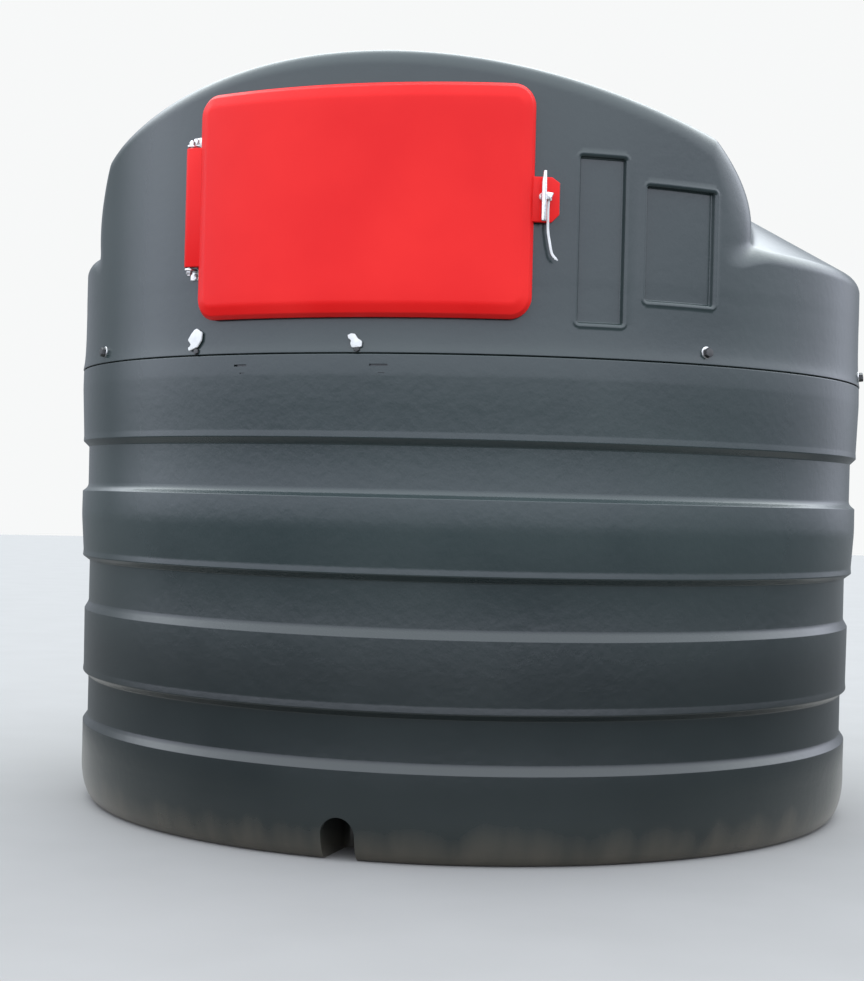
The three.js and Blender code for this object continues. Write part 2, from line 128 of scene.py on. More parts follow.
# Hood
HOOD_TURN = math.radians(0.5)  # about the tank's axis
VAULT_R = 2.080
VAULT_TOP = 1.977
HOOD_FOOT_AZ, HOOD_FOOT_Z = 52.2, 1.540  # a point on the front corner, low
HOOD_HEAD_AZ, HOOD_HEAD_Z = 47.0, 1.795  # and high
HOOD_BULGE = 0.033  # of each side, half way up
HOOD_TAPER = math.radians(8)
HOOD_BACK_Y = 0.350
HOOD_BACK_LEAN = math.radians(30)
HOOD_CORNER_RADIUS = 0.240  # upright corners in front
HOOD_BROW_RADIUS = 0.050  # along the roof's front edge
HOOD_KNEE_RADIUS = 0.020  # between the roof and the sides
HOOD_BACK_RADIUS = 0.120
HOOD_REAR_RADIUS = 0.060  # between the roof and the back
REAR_FROM_Y, REAR_FULL_Y = 0.060, 0.260  # where the knee's radius grows into the rear edge's
VALLEY_RADIUS = 0.050  # where the hood grows out of the cone
HOOD_BLEND, ROOF_BLEND = 0.15, 0.12  # widths over which one rounding turns into another

# Sunk panels: azimuth from, azimuth to, bottom, top
PANELS = [(28.0, 34.2, 1.318, 1.728), (36.8, 47.1, 1.380, 1.668)]
PANEL_DEPTH = 0.0135
PANEL_LEAN = math.radians(75)  # of the step down to the panel, from the wall
PANEL_ROUND_OUT, PANEL_ROUND_IN = 0.004, 0.002
PANEL_CORNER = 0.009
BEAD_HEIGHT, BEAD_HALF, BEAD_MIDDLE = 0.0015, 0.007, -0.004  # soft raised rim round a panel
PANEL_LINES = (  # grid lines at an edge, as distances inside the outline
    -0.0095, -0.0060, -0.0030, -0.0005, 0.0010, 0.0022, 0.0034, 0.0048, 0.0063, 0.0074, 0.0088,
)

# Door opening and cabinet
OPENING_AZ = 19.6
OPENING_BOTTOM = 1.358
OPENING_TOP = 1.852
OPENING_CORNER = 0.040
JAMB_DEPTH = 0.018
JAMB_RADIUS = 0.003
JAMB_STEPS = [  # into the opening, and behind the wall's face
    (0.0009, 0.0004), (0.0012, 0.0014), (0.0009, 0.0012), (0.0, JAMB_DEPTH - JAMB_RADIUS),
]

# Door
DOOR_FROM, DOOR_TO = -21.2, 22.4
DOOR_BOTTOM, DOOR_TOP = 1.322, 1.887
DOOR_CORNER = 0.055
DOOR_R_IN, DOOR_R_OUT = 1.1535, 1.180
DOOR_SIDE_R = 1.1605  # where the side wall ends and the steep chamfer begins
DOOR_CHAMFER = (0.010, 1.1715)  # where the chamfer meets the sloped margin: inset and radius
DOOR_BEVEL = 0.034  # width of both together
DOOR_RIM, DOOR_FACE = 0.014, 0.080  # insets of the back rim's inner edge and of the face
DOOR_DISH = [(0.020, 0.0005), (0.026, 0.004), (0.034, 0.007)]  # of the back: inset, depth
DOOR_FACE_RINGS = (0.94, 0.86, 0.76, 0.64, 0.5, 0.36, 0.22, 0.08)
DOOR_BACK_RINGS = (0.9, 0.75, 0.55, 0.3, 0.08)

# Cabinet behind the opening
CABINET_HALF = 0.385
CABINET_BACK_Y = -0.700
CABINET_FRONT_R = 1.130
CABINET_WALL = 0.012
CABINET_BACK_RADIUS = 0.030
CABINET_GROW = 0.0015  # step between the opening's edge and the cabinet

# Hinge: its upright axis, and the leaf's section as distance across and radius from the tank's axis
HINGE_AZ, HINGE_R = -22.5, 1.168
KNUCKLE_R, BORE_R = 0.013, 0.006
LEAF_BOTTOM, LEAF_TOP = 1.458, 1.758
LEAF_WEB = [(0.026, 1.1755), (0.041, 1.1695), (0.041, 1.1580), (0.012, 1.1555)]
LEAF_PLAY, LEAF_EDGE, BORE_OVER = 0.003, 0.0018, 0.01
BRACKET_WIDTH, BRACKET_HEIGHT, BRACKET_PLATE, BRACKET_EAR = 0.030, 0.028, 0.004, 0.006
BRACKET_BOLT_OFFSET, BRACKET_BOLTS_ACROSS = 0.005, (-0.002, 0.006)  # across: upper, lower
PLATE_CORNER, PLATE_EDGE, EAR_EDGE = 0.004, 0.0012, 0.0015
PIN_R = 0.005
EAR_HALF = 0.012

# Latch, in the frame of the wall at its azimuth
LATCH_AZ = 23.6
TAB_R, TAB_THICKNESS, TAB_CORNER, TAB_EDGE = 1.1535, 0.012, 0.004, 0.0025
TAB_OUTLINE = [
    (-0.030, 1.556), (0.018, 1.556), (0.037, 1.575), (0.037, 1.652), (0.018, 1.665), (-0.030, 1.665),
]
BAR_OUTLINE = [
    (-0.0105, 1.556), (0.0010, 1.556), (0.0012, 1.640), (0.0005, 1.677), (-0.0065, 1.677), (-0.0105, 1.648),
]
BAR_R, BAR_DEPTH, BAR_CORNER, BAR_EDGE = 1.1800, 0.010, 0.0022, 0.0030
LEVER_OUTLINE = [(-0.003, 1.608), (0.013, 1.609), (0.020, 1.625), (-0.003, 1.628)]
LEVER_BACK, LEVER_DEPTH, LEVER_CORNER, LEVER_EDGE = 0.007, 0.008, 0.0015, 0.0020
SPINDLE_X, SPINDLE_Z, SPINDLE_R = -0.0045, 1.617, 0.0060
SPINDLE_SUNK, SPINDLE_INTO_BAR = 0.001, 0.002
COLLAR = [(0.0095, 0.0), (0.0095, 0.003), (0.0085, 0.004), (SPINDLE_R, 0.004)]
TIE_PATH = [
    (0.010, 1.614), (0.0080, 1.600), (0.0075, 1.570), (0.0085, 1.535), (0.0125, 1.510), (0.0165, 1.490),
    (0.0200, 1.479), (0.0265, 1.471), (0.0335, 1.465),
]
TIE_R, TIE_WIDTH, TIE_THICKNESS = 1.1735, 0.0060, 0.0022
TIE_SECTION = ((-1, -0.6), (-0.8, -1), (0.8, -1), (1, -0.6), (1, 0.6), (0.8, 1), (-0.8, 1), (-1, 0.6))
TIE_TIP, TIE_TIP_WIDTH = 3, 0.55  # rings of its narrow tip, and their share of the width
TIE_HEAD = [(0.0045, 1.6065), (0.0155, 1.6065), (0.0155, 1.6185), (0.0045, 1.6185)]
TIE_HEAD_CORNER, TIE_HEAD_DEPTH, TIE_HEAD_EDGE, TIE_HEAD_BACK = 0.002, 0.006, 0.0015, 0.002

# Seam: bolts with washers, white seals with a black stud under each as painted shadow, and slots in the
# bund's lip
BOLT_AZIMUTHS = (45.9, 91.0, 136.0, 181.0, 226.0, 271.0, 315.1)
BOLT_Z, BOLT_R, SEAM_LEAN = 1.267, 1.1472, 6.0
BOLT_OUT, BOLT_DOWN, BOLT_ACROSS = 0.0028, 0.001, 0.001  # of a head, from its washer's place
SEALS = [
    [(-21.79, 1.3045), (-20.75, 1.2935), (-20.80, 1.2735), (-21.41, 1.2570), (-22.83, 1.2475),
     (-23.08, 1.2555), (-22.53, 1.2630), (-23.21, 1.2760), (-22.67, 1.2925), (-22.20, 1.3015)],
    [(0.31, 1.2795), (0.76, 1.2835), (1.22, 1.2825), (1.60, 1.2720), (2.20, 1.2640), (2.15, 1.2505),
     (0.93, 1.2485), (0.72, 1.2580), (0.79, 1.2660), (0.40, 1.2720)],
]
# painted shadow: a black stud under each seal stands in for the shadow beneath it
SEAL_SHADOW_STUDS, SEAL_SHADOW_STUD_R, SEAL_SHADOW_STUD_Z = (-21.7, 1.5), 1.1495, 1.2465
SEAL_R, SEAL_THICKNESS, SEAL_CORNER, SEAL_EDGE = 1.1535, 0.004, 0.004, 0.0014
SLOTS_IN_LIP = [  # azimuth, height, length, height of the slot, depth
    (-14.5, 1.208, 0.038, 0.0050, 0.0095), (4.2, 1.208, 0.046, 0.0050, 0.0095),
    (-14.2, 1.189, 0.014, 0.0026, 0.0050), (4.6, 1.189, 0.016, 0.0026, 0.0050),
]
SLOT_ROUND, SLOT_CUT = 0.4, 0.010  # corner as a share of the height, and the cutter's reach

QUARTER = math.pi / 2
SHARP_ANGLE = 35  # degrees past which an edge stays sharp
BEVEL_STEPS = 3
MIN_CORNER = 0.002
FACE_UP, FACE_DOWN = 90.0, -90.0  # leans that turn a mesh's front to the sky or the ground


def at(azimuth, radius, z=0.0):
    a = math.radians(azimuth)
    return Vector((radius * math.sin(a), -radius * math.cos(a), z))


def angles(end, steps):
    """Angles in equal steps from 0 to end, both included."""
    return [end * i / steps for i in range(steps + 1)]


# Node trees

def node(tree, kind, sockets=None, **settings):
    """New shader node. sockets maps an input to a value, or to the output that feeds it."""
    made = tree.nodes.new(kind)
    for key, value in settings.items():
        setattr(made, key, value)
    for key, value in (sockets or {}).items():
        if isinstance(value, bpy.types.NodeSocket):
            tree.links.new(value, made.inputs[key])
        else:
            made.inputs[key].default_value = value
    return made


def noise(tree, place, scale, detail=2.0, stretch=(1, 1, 1), roughness=0.5):
    """Noise, about 0.5 on average, whose grain is 1 / scale metres."""
    mapped = node(tree, "ShaderNodeMapping", {"Vector": place, "Scale": stretch}).outputs[0]
    sockets = {"Vector": mapped, "Scale": scale, "Detail": detail, "Roughness": roughness}
    return node(tree, "ShaderNodeTexNoise", sockets).outputs["Fac"]


def spread(tree, value, low, high, to_low=0.0, to_high=1.0):
    """value mapped from low..high to to_low..to_high, and held at the ends."""
    sockets = {0: value, 1: low, 2: high, 3: to_low, 4: to_high}
    return node(tree, "ShaderNodeMapRange", sockets).outputs[0]


def mixed(tree, share, a, b, blend="MIX"):
    made = node(tree, "ShaderNodeMix", {0: share}, data_type="RGBA", blend_type=blend)
    for socket, value in ((made.inputs[6], a), (made.inputs[7], b)):
        if isinstance(value, bpy.types.NodeSocket):
            tree.links.new(value, socket)
        else:
            socket.default_value = (*value, 1.0)
    return made.outputs[2]


def math_node(tree, operation, *values):
    return node(tree, "ShaderNodeMath", dict(enumerate(values)), operation=operation).outputs[0]


def new_material(name):
    made = bpy.data.materials.new(name)
    made.use_nodes = True
    tree = made.node_tree
    return made, tree, tree.nodes["Principled BSDF"], node(tree, "ShaderNodeTexCoord").outputs["Object"]


def bump(tree, shader, *layers):
    """Stacks bump layers of (height, distance in metres) on the shader's normal."""
    normal = None
    for height, distance in layers:
        made = node(tree, "ShaderNodeBump", {"Height": height, "Distance": distance, "Strength": 1.0})
        if normal is not None:
            tree.links.new(normal, made.inputs["Normal"])
        normal = made.outputs[0]
    tree.links.new(normal, shader.inputs["Normal"])


# Materials

SLATE_DARK = (0.0165, 0.0265, 0.0275)
SLATE_LIGHT = (0.0255, 0.0380, 0.0375)
SLATE_DUST = (0.135, 0.115, 0.085)
SLATE_ROUGH = (0.19, 0.25)
PAINTED_SHADE_FULL_Z, PAINTED_SHADE_END_Z, PAINTED_SHADE_SHARE = 0.45, 0.80, 0.60  # painted shade: the lower walls are darker, in place of the weaker light low down
DUST_TOP, DUST_RAGGED, DUST_SHARE = 0.09, 0.03, 0.34
MIDST = (0.3, 0.7)  # the part of a noise that counts


def slate_plastic():
    """Rotomoulded polyethylene: satin, cloudy, with a fine speckle, painted shade on the lower walls and
    dust at the foot.
    """
    made, tree, shader, place = new_material("slate_plastic")
    cloud = noise(tree, place, scale=2.2, detail=4.0)
    grain = noise(tree, place, scale=160.0, detail=3.0)
    streaks = noise(tree, place, scale=9.0, detail=3.0, stretch=(1, 1, 0.12))
    waves = noise(tree, place, scale=45.0)
    colour = mixed(tree, spread(tree, cloud, 0.32, 0.68), SLATE_DARK, SLATE_LIGHT)
    colour = mixed(tree, spread(tree, grain, 0.35, 0.7, to_high=0.30), colour, SLATE_LIGHT)
    colour = mixed(tree, spread(tree, streaks, 0.45, 0.75, to_high=0.16), colour, SLATE_DARK)
    height = node(tree, "ShaderNodeSeparateXYZ", {0: place}).outputs[2]
    # painted shade: the colour darkens towards the bottom of the walls
    painted_shade = spread(tree, height, PAINTED_SHADE_FULL_Z, PAINTED_SHADE_END_Z, PAINTED_SHADE_SHARE, 0.0)
    colour = mixed(tree, painted_shade, colour, (0.0, 0.0, 0.0))
    ragged = math_node(tree, "ADD", height, spread(tree, streaks, *MIDST, -DUST_RAGGED, DUST_RAGGED))
    dust = spread(tree, ragged, 0.0, DUST_TOP, DUST_SHARE, 0.0)
    colour = mixed(tree, dust, colour, SLATE_DUST)
    tree.links.new(colour, shader.inputs["Base Color"])
    tree.links.new(spread(tree, cloud, *MIDST, *SLATE_ROUGH), shader.inputs["Roughness"])
    shader.inputs["Specular IOR Level"].default_value = 0.5
    bump(tree, shader, (cloud, 0.0015), (waves, 0.00035), (grain, 0.00008))
    return made


def plain_finish(name, scale, detail, tones, rough, raised, fine=None, fixed=()):
    """Finish whose colour, roughness and height follow one noise; fine adds (scale, distance)."""
    made, tree, shader, place = new_material(name)
    cloud = noise(tree, place, scale, detail)
    tree.links.new(mixed(tree, spread(tree, cloud, *MIDST), *tones), shader.inputs["Base Color"])
    tree.links.new(spread(tree, cloud, *MIDST, *rough), shader.inputs["Roughness"])
    for socket, value in fixed:
        shader.inputs[socket].default_value = value
    layers = [(cloud, raised)]
    if fine:
        layers.append((noise(tree, place, fine[0]), fine[1]))
    bump(tree, shader, *layers)
    return made


RED_TONES = (0.63, 0.0090, 0.0090), (0.69, 0.0160, 0.0140)
ZINC_TONES = (0.55, 0.55, 0.54), (0.78, 0.78, 0.77)
WHITE_TONES = (0.54, 0.55, 0.54), (0.66, 0.67, 0.66)
# black of the seam's bolt heads, and of the painted-shadow studs under the seals
BLACK_STEEL_AND_SHADOW_TONES = (0.010, 0.011, 0.012), (0.030, 0.030, 0.030)

SLATE = slate_plastic()
RED = plain_finish(
    "door_red", scale=4.0, detail=3.0, tones=RED_TONES, rough=(0.30, 0.42), raised=0.0008,
    fine=(220.0, 0.00005), fixed=[("Specular IOR Level", 0.15)],
)
ZINC = plain_finish(
    "zinc", scale=300.0, detail=2.0, tones=ZINC_TONES, rough=(0.28, 0.42), raised=0.00006,
    fixed=[("Metallic", 0.85)],
)
WHITE = plain_finish(
    "white_tie", scale=60.0, detail=2.0, tones=WHITE_TONES, rough=(0.35, 0.5), raised=0.0002,
)
BLACK_STEEL_AND_SHADOW = plain_finish(
    "black_steel_and_shadow", scale=120.0, detail=3.0, tones=BLACK_STEEL_AND_SHADOW_TONES, rough=(0.30, 0.5), raised=0.0001,
)
SLOTS = {"slate_plastic": SLATE, "door_red": RED, "zinc": ZINC, "white_tie": WHITE}


# Meshes

def new_piece(name, mesh, material, body, replaces=()):
    """Shown object on a body and the solids that it stands for."""
    piece = bpy.data.objects.new(name, mesh)
    bpy.context.scene.collection.objects.link(piece)
    mesh.materials.append(material)
    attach(piece, body)
    if replaces:
        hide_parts(*replaces)
    return piece


def mesh_from(points, faces, sharp_angle=None):
    """Smooth mesh whose edges are sharp past sharp_angle degrees."""
    mesh = bpy.data.meshes.new("made")
    mesh.from_pydata([tuple(p) for p in points], [], [tuple(f) for f in faces])
    mesh.validate()
    mesh.shade_smooth()
    if sharp_angle:
        mesh.set_sharp_from_angle(angle=math.radians(sharp_angle))
    return mesh


def grid_faces(rows, columns, wrap):
    """Quads between rows of points; wrap joins the last column to the first."""
    last = columns if wrap else columns - 1
    faces = []
    for i in range(rows - 1):
        for j in range(last):
            k = (j + 1) % columns
            faces.append((i * columns + j, i * columns + k, (i + 1) * columns + k, (i + 1) * columns + j))
    return faces


def loft(rings, cap_start=True, cap_end=True, sharp_angle=40, closed=True):
    """Skin over rings that all have the same number of points."""
    count = len(rings[0])
    faces = grid_faces(len(rings), count, closed)
    if cap_start:
        faces.append(tuple(reversed(range(count))))
    if cap_end:
        start = (len(rings) - 1) * count
        faces.append(tuple(range(start, start + count)))
    return mesh_from([p for ring in rings for p in ring], faces, sharp_angle)


def fix_normals(mesh):
    bm = bmesh.new()
    bm.from_mesh(mesh)
    bmesh.ops.recalc_face_normals(bm, faces=bm.faces)
    bm.to_mesh(mesh)
    bm.free()
    return mesh


def join_meshes(*meshes):
    """One mesh of several that don't touch."""
    bm = bmesh.new()
    for mesh in meshes:
        bm.from_mesh(mesh)
        bpy.data.meshes.remove(mesh)
    made = bpy.data.meshes.new("joined")
    bm.to_mesh(made)
    bm.free()
    return made


def filleted(points, step=math.radians(9)):
    """Open outline of (x, y, corner radius) with each inner corner replaced by an arc."""
    made = [Vector(points[0][:2])]
    for before, here, after in zip(points, points[1:], points[2:]):
        p, a, b = Vector(here[:2]), Vector(before[:2]), Vector(after[:2])
        to_a, to_b = (a - p), (b - p)
        turn = math.pi - to_a.angle(to_b)
        if turn < 1e-4:
            made.append(p)
            continue
        reach = min(here[2] * math.tan(turn / 2), 0.49 * to_a.length, 0.49 * to_b.length)
        start, end = p + to_a.normalized() * reach, p + to_b.normalized() * reach
        count = max(2, math.ceil(turn / step))
        for i in range(count + 1):
            t = i / count
            made.append(start * (1 - t) ** 2 + p * (2 * t * (1 - t)) + end * t ** 2)
    made.append(Vector(points[-1][:2]))
    return made


def lathe(outline, steps):
    """Closed outline of (radius, height) turned about the axis."""
    turns = angles(math.tau, steps)[:-1]
    points = [(r * math.sin(t), -r * math.cos(t), z) for r, z in outline for t in turns]
    faces = grid_faces(len(outline) + 1, steps, True)
    return mesh_from(points, [tuple(v % len(points) for v in f) for f in faces], SHARP_ANGLE)


def boolean(mesh, cutter):
    """mesh with the cutter taken away."""
    target = bpy.data.objects.new("target", mesh)
    tool = bpy.data.objects.new("tool", cutter)
    for o in (target, tool):
        bpy.context.scene.collection.objects.link(o)
    cut = target.modifiers.new("cut", "BOOLEAN")
    cut.object, cut.operation, cut.solver = tool, "DIFFERENCE", "EXACT"
    graph = bpy.context.evaluated_depsgraph_get()
    made = bpy.data.meshes.new_from_object(target.evaluated_get(graph))
    bpy.data.objects.remove(target)
    bpy.data.objects.remove(tool)
    return made


def rounded(corners, radius):
    """Closed outline with every corner rounded."""
    middle = tuple((a + b) / 2 for a, b in zip(corners[-1], corners[0]))
    ring = [middle, *[(*c, radius) for c in corners], middle]
    return [tuple(p) for p in filleted(ring, math.radians(20))[:-1]]


def rectangle(x, z):
    """Corners of a rectangle about the origin, from its half width and half height."""
    return [(-x, -z), (x, -z), (x, z), (-x, z)]


def slab(outline, depth, bevel, both=False):
    """Plate with an outline in x and z that stands out from y = 0 by depth.

    Its front edge is rounded, and its back edge too where both is set.
    """
    bm = bmesh.new()
    back = [bm.verts.new((x, 0, z)) for x, z in outline]
    front = [bm.verts.new((x, -depth, z)) for x, z in outline]
    ends = [bm.faces.new(front), bm.faces.new(back)]
    for i in range(len(outline)):
        j = (i + 1) % len(outline)
        bm.faces.new((back[i], back[j], front[j], front[i]))
    bmesh.ops.recalc_face_normals(bm, faces=bm.faces)
    if bevel:
        edges = [e for end in ends[:1 + both] for e in end.edges]
        bmesh.ops.bevel(bm, geom=edges, offset=bevel, segments=BEVEL_STEPS, profile=0.5, affect="EDGES")
    mesh = bpy.data.meshes.new("slab")
    bm.to_mesh(mesh)
    bm.free()
    mesh.shade_smooth()
    mesh.set_sharp_from_angle(angle=math.radians(SHARP_ANGLE))
    return mesh


def stud(profile, sides):
    """Head that stands out from y = 0, of (radius, height) from the wall outwards."""
    turns = angles(math.tau, sides)[:-1]
    rings = [[(r * math.sin(t), -h, r * math.cos(t)) for t in turns] for r, h in profile]
    return fix_normals(loft(rings, sharp_angle=SHARP_ANGLE))


def put(mesh, azimuth, radius, z, lean=0.0, across=0.0):
    """Moves a mesh that faces -Y to its place on the wall, its top leaning back by lean degrees."""
    turn = Matrix.Rotation(math.radians(azimuth), 4, "Z")
    tilt = Matrix.Rotation(math.radians(-lean), 4, "X")
    mesh.transform(turn @ Matrix.Translation((across, -radius, z)) @ tilt)
    return mesh


# Bund

def arch_outline(grow=0.0):
    """Half round over straight sides, from the ground on the right to the ground on the left."""
    r = ARCH_WIDTH / 2 + grow
    top = ARCH_HEIGHT - ARCH_WIDTH / 2
    side = np.linspace(ARCH_FROM_Z, top, ARCH_STEPS, endpoint=False)
    points = [(r, z) for z in side]
    points += [(r * math.cos(t), top + r * math.sin(t)) for t in angles(math.pi, ARCH_STEPS)]
    return points + [(-r, z) for z in reversed(side)]


def foot_radius(z):
    """Outer radius of the rounded foot, a quarter ellipse."""
    rise = min(max(z / FOOT_TOP, 0), 1)
    return FOOT_R + (BASE_R - FOOT_R) * math.sqrt(1 - (1 - rise) ** 2)


def arch_cutter():
    """Tunnel whose mouth flares out in a quarter round along the curved foot."""
    def ring(grow, depth):
        made = []
        for x, z in arch_outline(grow):
            share = float(eased((z - ARCH_FLARE_FROM) / (ARCH_FLARE_FULL - ARCH_FLARE_FROM)))
            x = math.copysign(abs(x) - grow * (1 - share), x)
            made.append((x, depth - math.sqrt(foot_radius(z) ** 2 - x ** 2), z))
        return made

    rings = [ring(ARCH_FLARE, ARCH_CUT_OUT)]
    for t in angles(QUARTER, 6):
        depth = ARCH_FLARE * (1 - math.cos(t)) - ARCH_FLARE_PROUD
        rings.append(ring(ARCH_FLARE * (1 - math.sin(t)), depth))
    rings.append([(x, ARCH_CUT_IN - BASE_R, z) for x, z in arch_outline()])
    return fix_normals(loft(rings))


def bund_shell():
    rises = [FOOT_TOP * (1 - math.cos(t)) for t in angles(QUARTER, 12)]
    foot = [(foot_radius(z), z, 0.0) for z in rises]
    land = [(LAND_R, BUND_OUTLINE[-1][1] + LAND_RISE, LAND_CORNER), (LAND_R, COVER_BOTTOM, 0.0)]
    outer = filleted([*foot, *BUND_OUTLINE, *land])
    under_rim = COVER_BOTTOM - RIM_THICKNESS
    inner = [
        (RIM_R_IN, COVER_BOTTOM), (RIM_R_IN, under_rim), (INSIDE_TOP_R, under_rim), *BUND_INSIDE,
        (FOOT_R - BUND_WALL, BUND_WALL), (PLATE_R, BUND_WALL), (PLATE_R, 0.0),
    ]
    slots = []
    for azimuth, z, length, height, depth in SLOTS_IN_LIP:
        outline = rounded(rectangle(length / 2, height / 2), SLOT_ROUND * height)
        slots.append(put(slab(outline, SLOT_CUT, 0.0), azimuth, BUND_LIP_R - depth, z))
    mesh = boolean(lathe([*outer, *inner], BUND_STEPS), join_meshes(arch_cutter(), *slots))
    mesh.set_sharp_from_angle(angle=math.radians(SHARP_ANGLE))
    quarters = ["front_left", "front_middle", "front_right", "right", "back", "left"]
    walls = ["bund_wall_" + q for q in quarters]
    new_piece("bund_shell", mesh, SLATE, "tank", [*walls, "bund_rim"])


def arch_recess():
    """Blind tunnel behind the arch, with rounded inner end."""
    end = RECESS_FACE_Y + RECESS_DEPTH

    def ring(y, grow):
        return [(x, y, max(z, 0.0)) for x, z in arch_outline(grow)]

    def mouth(grow):
        points = [(x, max(z, 0.0)) for x, z in arch_outline(grow)]
        return [(x, RECESS_SETBACK - math.sqrt(foot_radius(z) ** 2 - x ** 2), z) for x, z in points]

    inner = [mouth(RECESS_MOUTH), ring(RECESS_FACE_Y + RECESS_MIDDLE, -RECESS_DRAFT_MIDDLE)]
    for t in angles(QUARTER, 5):
        grow = -RECESS_DRAFT_END - RECESS_ROUND * (1 - math.cos(t))
        inner.append(ring(end - RECESS_ROUND * (1 - math.sin(t)), grow))
    outer = [ring(end + RECESS_WALL, RECESS_WALL), mouth(RECESS_WALL)]
    mesh = loft([*reversed(outer), *reversed(inner)], cap_start=False, cap_end=False, closed=False)
    back = [*inner[-1], *outer[0]]
    count = len(inner[-1])
    caps = mesh_from(back, [tuple(range(count)), tuple(reversed(range(count, len(back))))])
    new_piece("arch_recess", join_meshes(mesh, caps), SLATE, "tank", ["base_arch_recess"])


# Cover, as the surface where a distance function is zero

def rounding(radius, turn):
    """Size of the blend that acts as a true radius between faces that turn by that many degrees."""
    return radius * (1 - math.cos(math.radians(turn) / 2)) / (1 - math.cos(math.pi / 4))


def inside_both(a, b, r):
    """Intersection of two solids with the edge between them rounded."""
    corner = np.hypot(np.maximum(a + r, 0), np.maximum(b + r, 0))
    return np.minimum(np.maximum(a, b), -r) + corner


def inside_either(a, b, r):
    """Union of two solids with the valley between them filled."""
    corner = np.hypot(np.maximum(r - a, 0), np.maximum(r - b, 0))
    return np.maximum(np.minimum(a, b), r) - corner


HOOD_FOOT = np.array(at(HOOD_FOOT_AZ, COVER_R, HOOD_FOOT_Z))
HOOD_HEAD = np.array(at(HOOD_HEAD_AZ, COVER_R, HOOD_HEAD_Z))
SIDE_NORMAL = np.cross([-math.sin(HOOD_TAPER), math.cos(HOOD_TAPER), 0], HOOD_HEAD - HOOD_FOOT)
SIDE_NORMAL /= np.linalg.norm(SIDE_NORMAL)

BLENDS = {  # each with the degrees by which its faces turn
    "shoulder": rounding(SHOULDER_RADIUS, 90 - math.degrees(CONE_SLOPE)),
    "corner": rounding(HOOD_CORNER_RADIUS, 46),
    "brow": rounding(HOOD_BROW_RADIUS, 84),
    "knee": rounding(HOOD_KNEE_RADIUS, 50),
    "back": rounding(HOOD_BACK_RADIUS, 80),
    "rear": rounding(HOOD_REAR_RADIUS, 60),
    "valley": rounding(VALLEY_RADIUS, 50),
}


def side_distance(x, y, z):
    """Distance to the hood's nearer side, in the hood's own frame."""
    side = (np.abs(x) - HOOD_FOOT[0]) * SIDE_NORMAL[0]
    side = side + (y - HOOD_FOOT[1]) * SIDE_NORMAL[1] + (z - HOOD_FOOT[2]) * SIDE_NORMAL[2]
    half = (HOOD_HEAD_Z - HOOD_FOOT_Z) / 2
    return side - HOOD_BULGE * (z - HOOD_FOOT_Z) * (HOOD_HEAD_Z - z) / half ** 2


def vault_distance(x, z):
    return np.hypot(x, z - VAULT_TOP + VAULT_R) - VAULT_R


def in_hood_frame(x, y):
    c, s = math.cos(HOOD_TURN), math.sin(HOOD_TURN)
    return x * c + y * s, y * c - x * s


def hood_distance(x, y, z):
    """Hood without its front wall: two sides, the back and the arched roof."""
    x, y = in_hood_frame(x, y)
    back = (y - HOOD_BACK_Y) * math.cos(HOOD_BACK_LEAN) + (z - VAULT_TOP) * math.sin(HOOD_BACK_LEAN)
    walls = inside_both(side_distance(x, y, z), back, BLENDS["back"])
    at_rear = eased((y - REAR_FROM_Y) / (REAR_FULL_Y - REAR_FROM_Y))
    edge = BLENDS["knee"] + (BLENDS["rear"] - BLENDS["knee"]) * at_rear
    return inside_both(walls, vault_distance(x, z), edge)


def cone_distance(rho, z):
    """Cone whose top is a round crown that continues its slope."""
    crown_r = CROWN_FROM_R / math.sin(CONE_SLOPE)
    joint_z = CONE_EDGE_Z + (COVER_R - CROWN_FROM_R) * math.tan(CONE_SLOPE)
    centre_z = joint_z - crown_r * math.cos(CONE_SLOPE)
    crown = np.hypot(rho, z - centre_z) - crown_r
    cone = (z - CONE_EDGE_Z - (COVER_R - rho) * math.tan(CONE_SLOPE)) * math.cos(CONE_SLOPE)
    return np.where(np.arctan2(rho, z - centre_z) < CONE_SLOPE, crown, cone)


def upper_distance(x, y, z):
    """Hood and cone together, without the upright wall."""
    return inside_either(hood_distance(x, y, z), cone_distance(np.hypot(x, y), z), BLENDS["valley"])


def box_distance(s, z, middle, half, bottom, top, corner):
    """Signed distance in the unrolled wall to a rectangle with round corners."""
    dx = np.abs(s - middle) - half + corner
    dz = np.abs(z - (bottom + top) / 2) - (top - bottom) / 2 + corner
    outside = np.hypot(np.maximum(dx, 0), np.maximum(dz, 0))
    return outside + np.minimum(np.maximum(dx, dz), 0) - corner


def eased(t):
    t = np.clip(t, 0, 1)
    return t * t * (3 - 2 * t)


def panel_step():
    """Depth below the wall against the distance inside a panel's outline: round, slope, round."""
    turns = np.linspace(0, PANEL_LEAN, 10)
    run = PANEL_DEPTH - (PANEL_ROUND_OUT + PANEL_ROUND_IN) * (1 - math.cos(PANEL_LEAN))
    end = (PANEL_ROUND_OUT + PANEL_ROUND_IN) * math.sin(PANEL_LEAN) + run / math.tan(PANEL_LEAN)
    out, back = (
        np.array([(r * math.sin(t), r * (1 - math.cos(t))) for t in turns])
        for r in (PANEL_ROUND_OUT, PANEL_ROUND_IN)
    )
    return np.array([*out, *reversed((end, PANEL_DEPTH) - back)]).T


PANEL_STEP = panel_step()


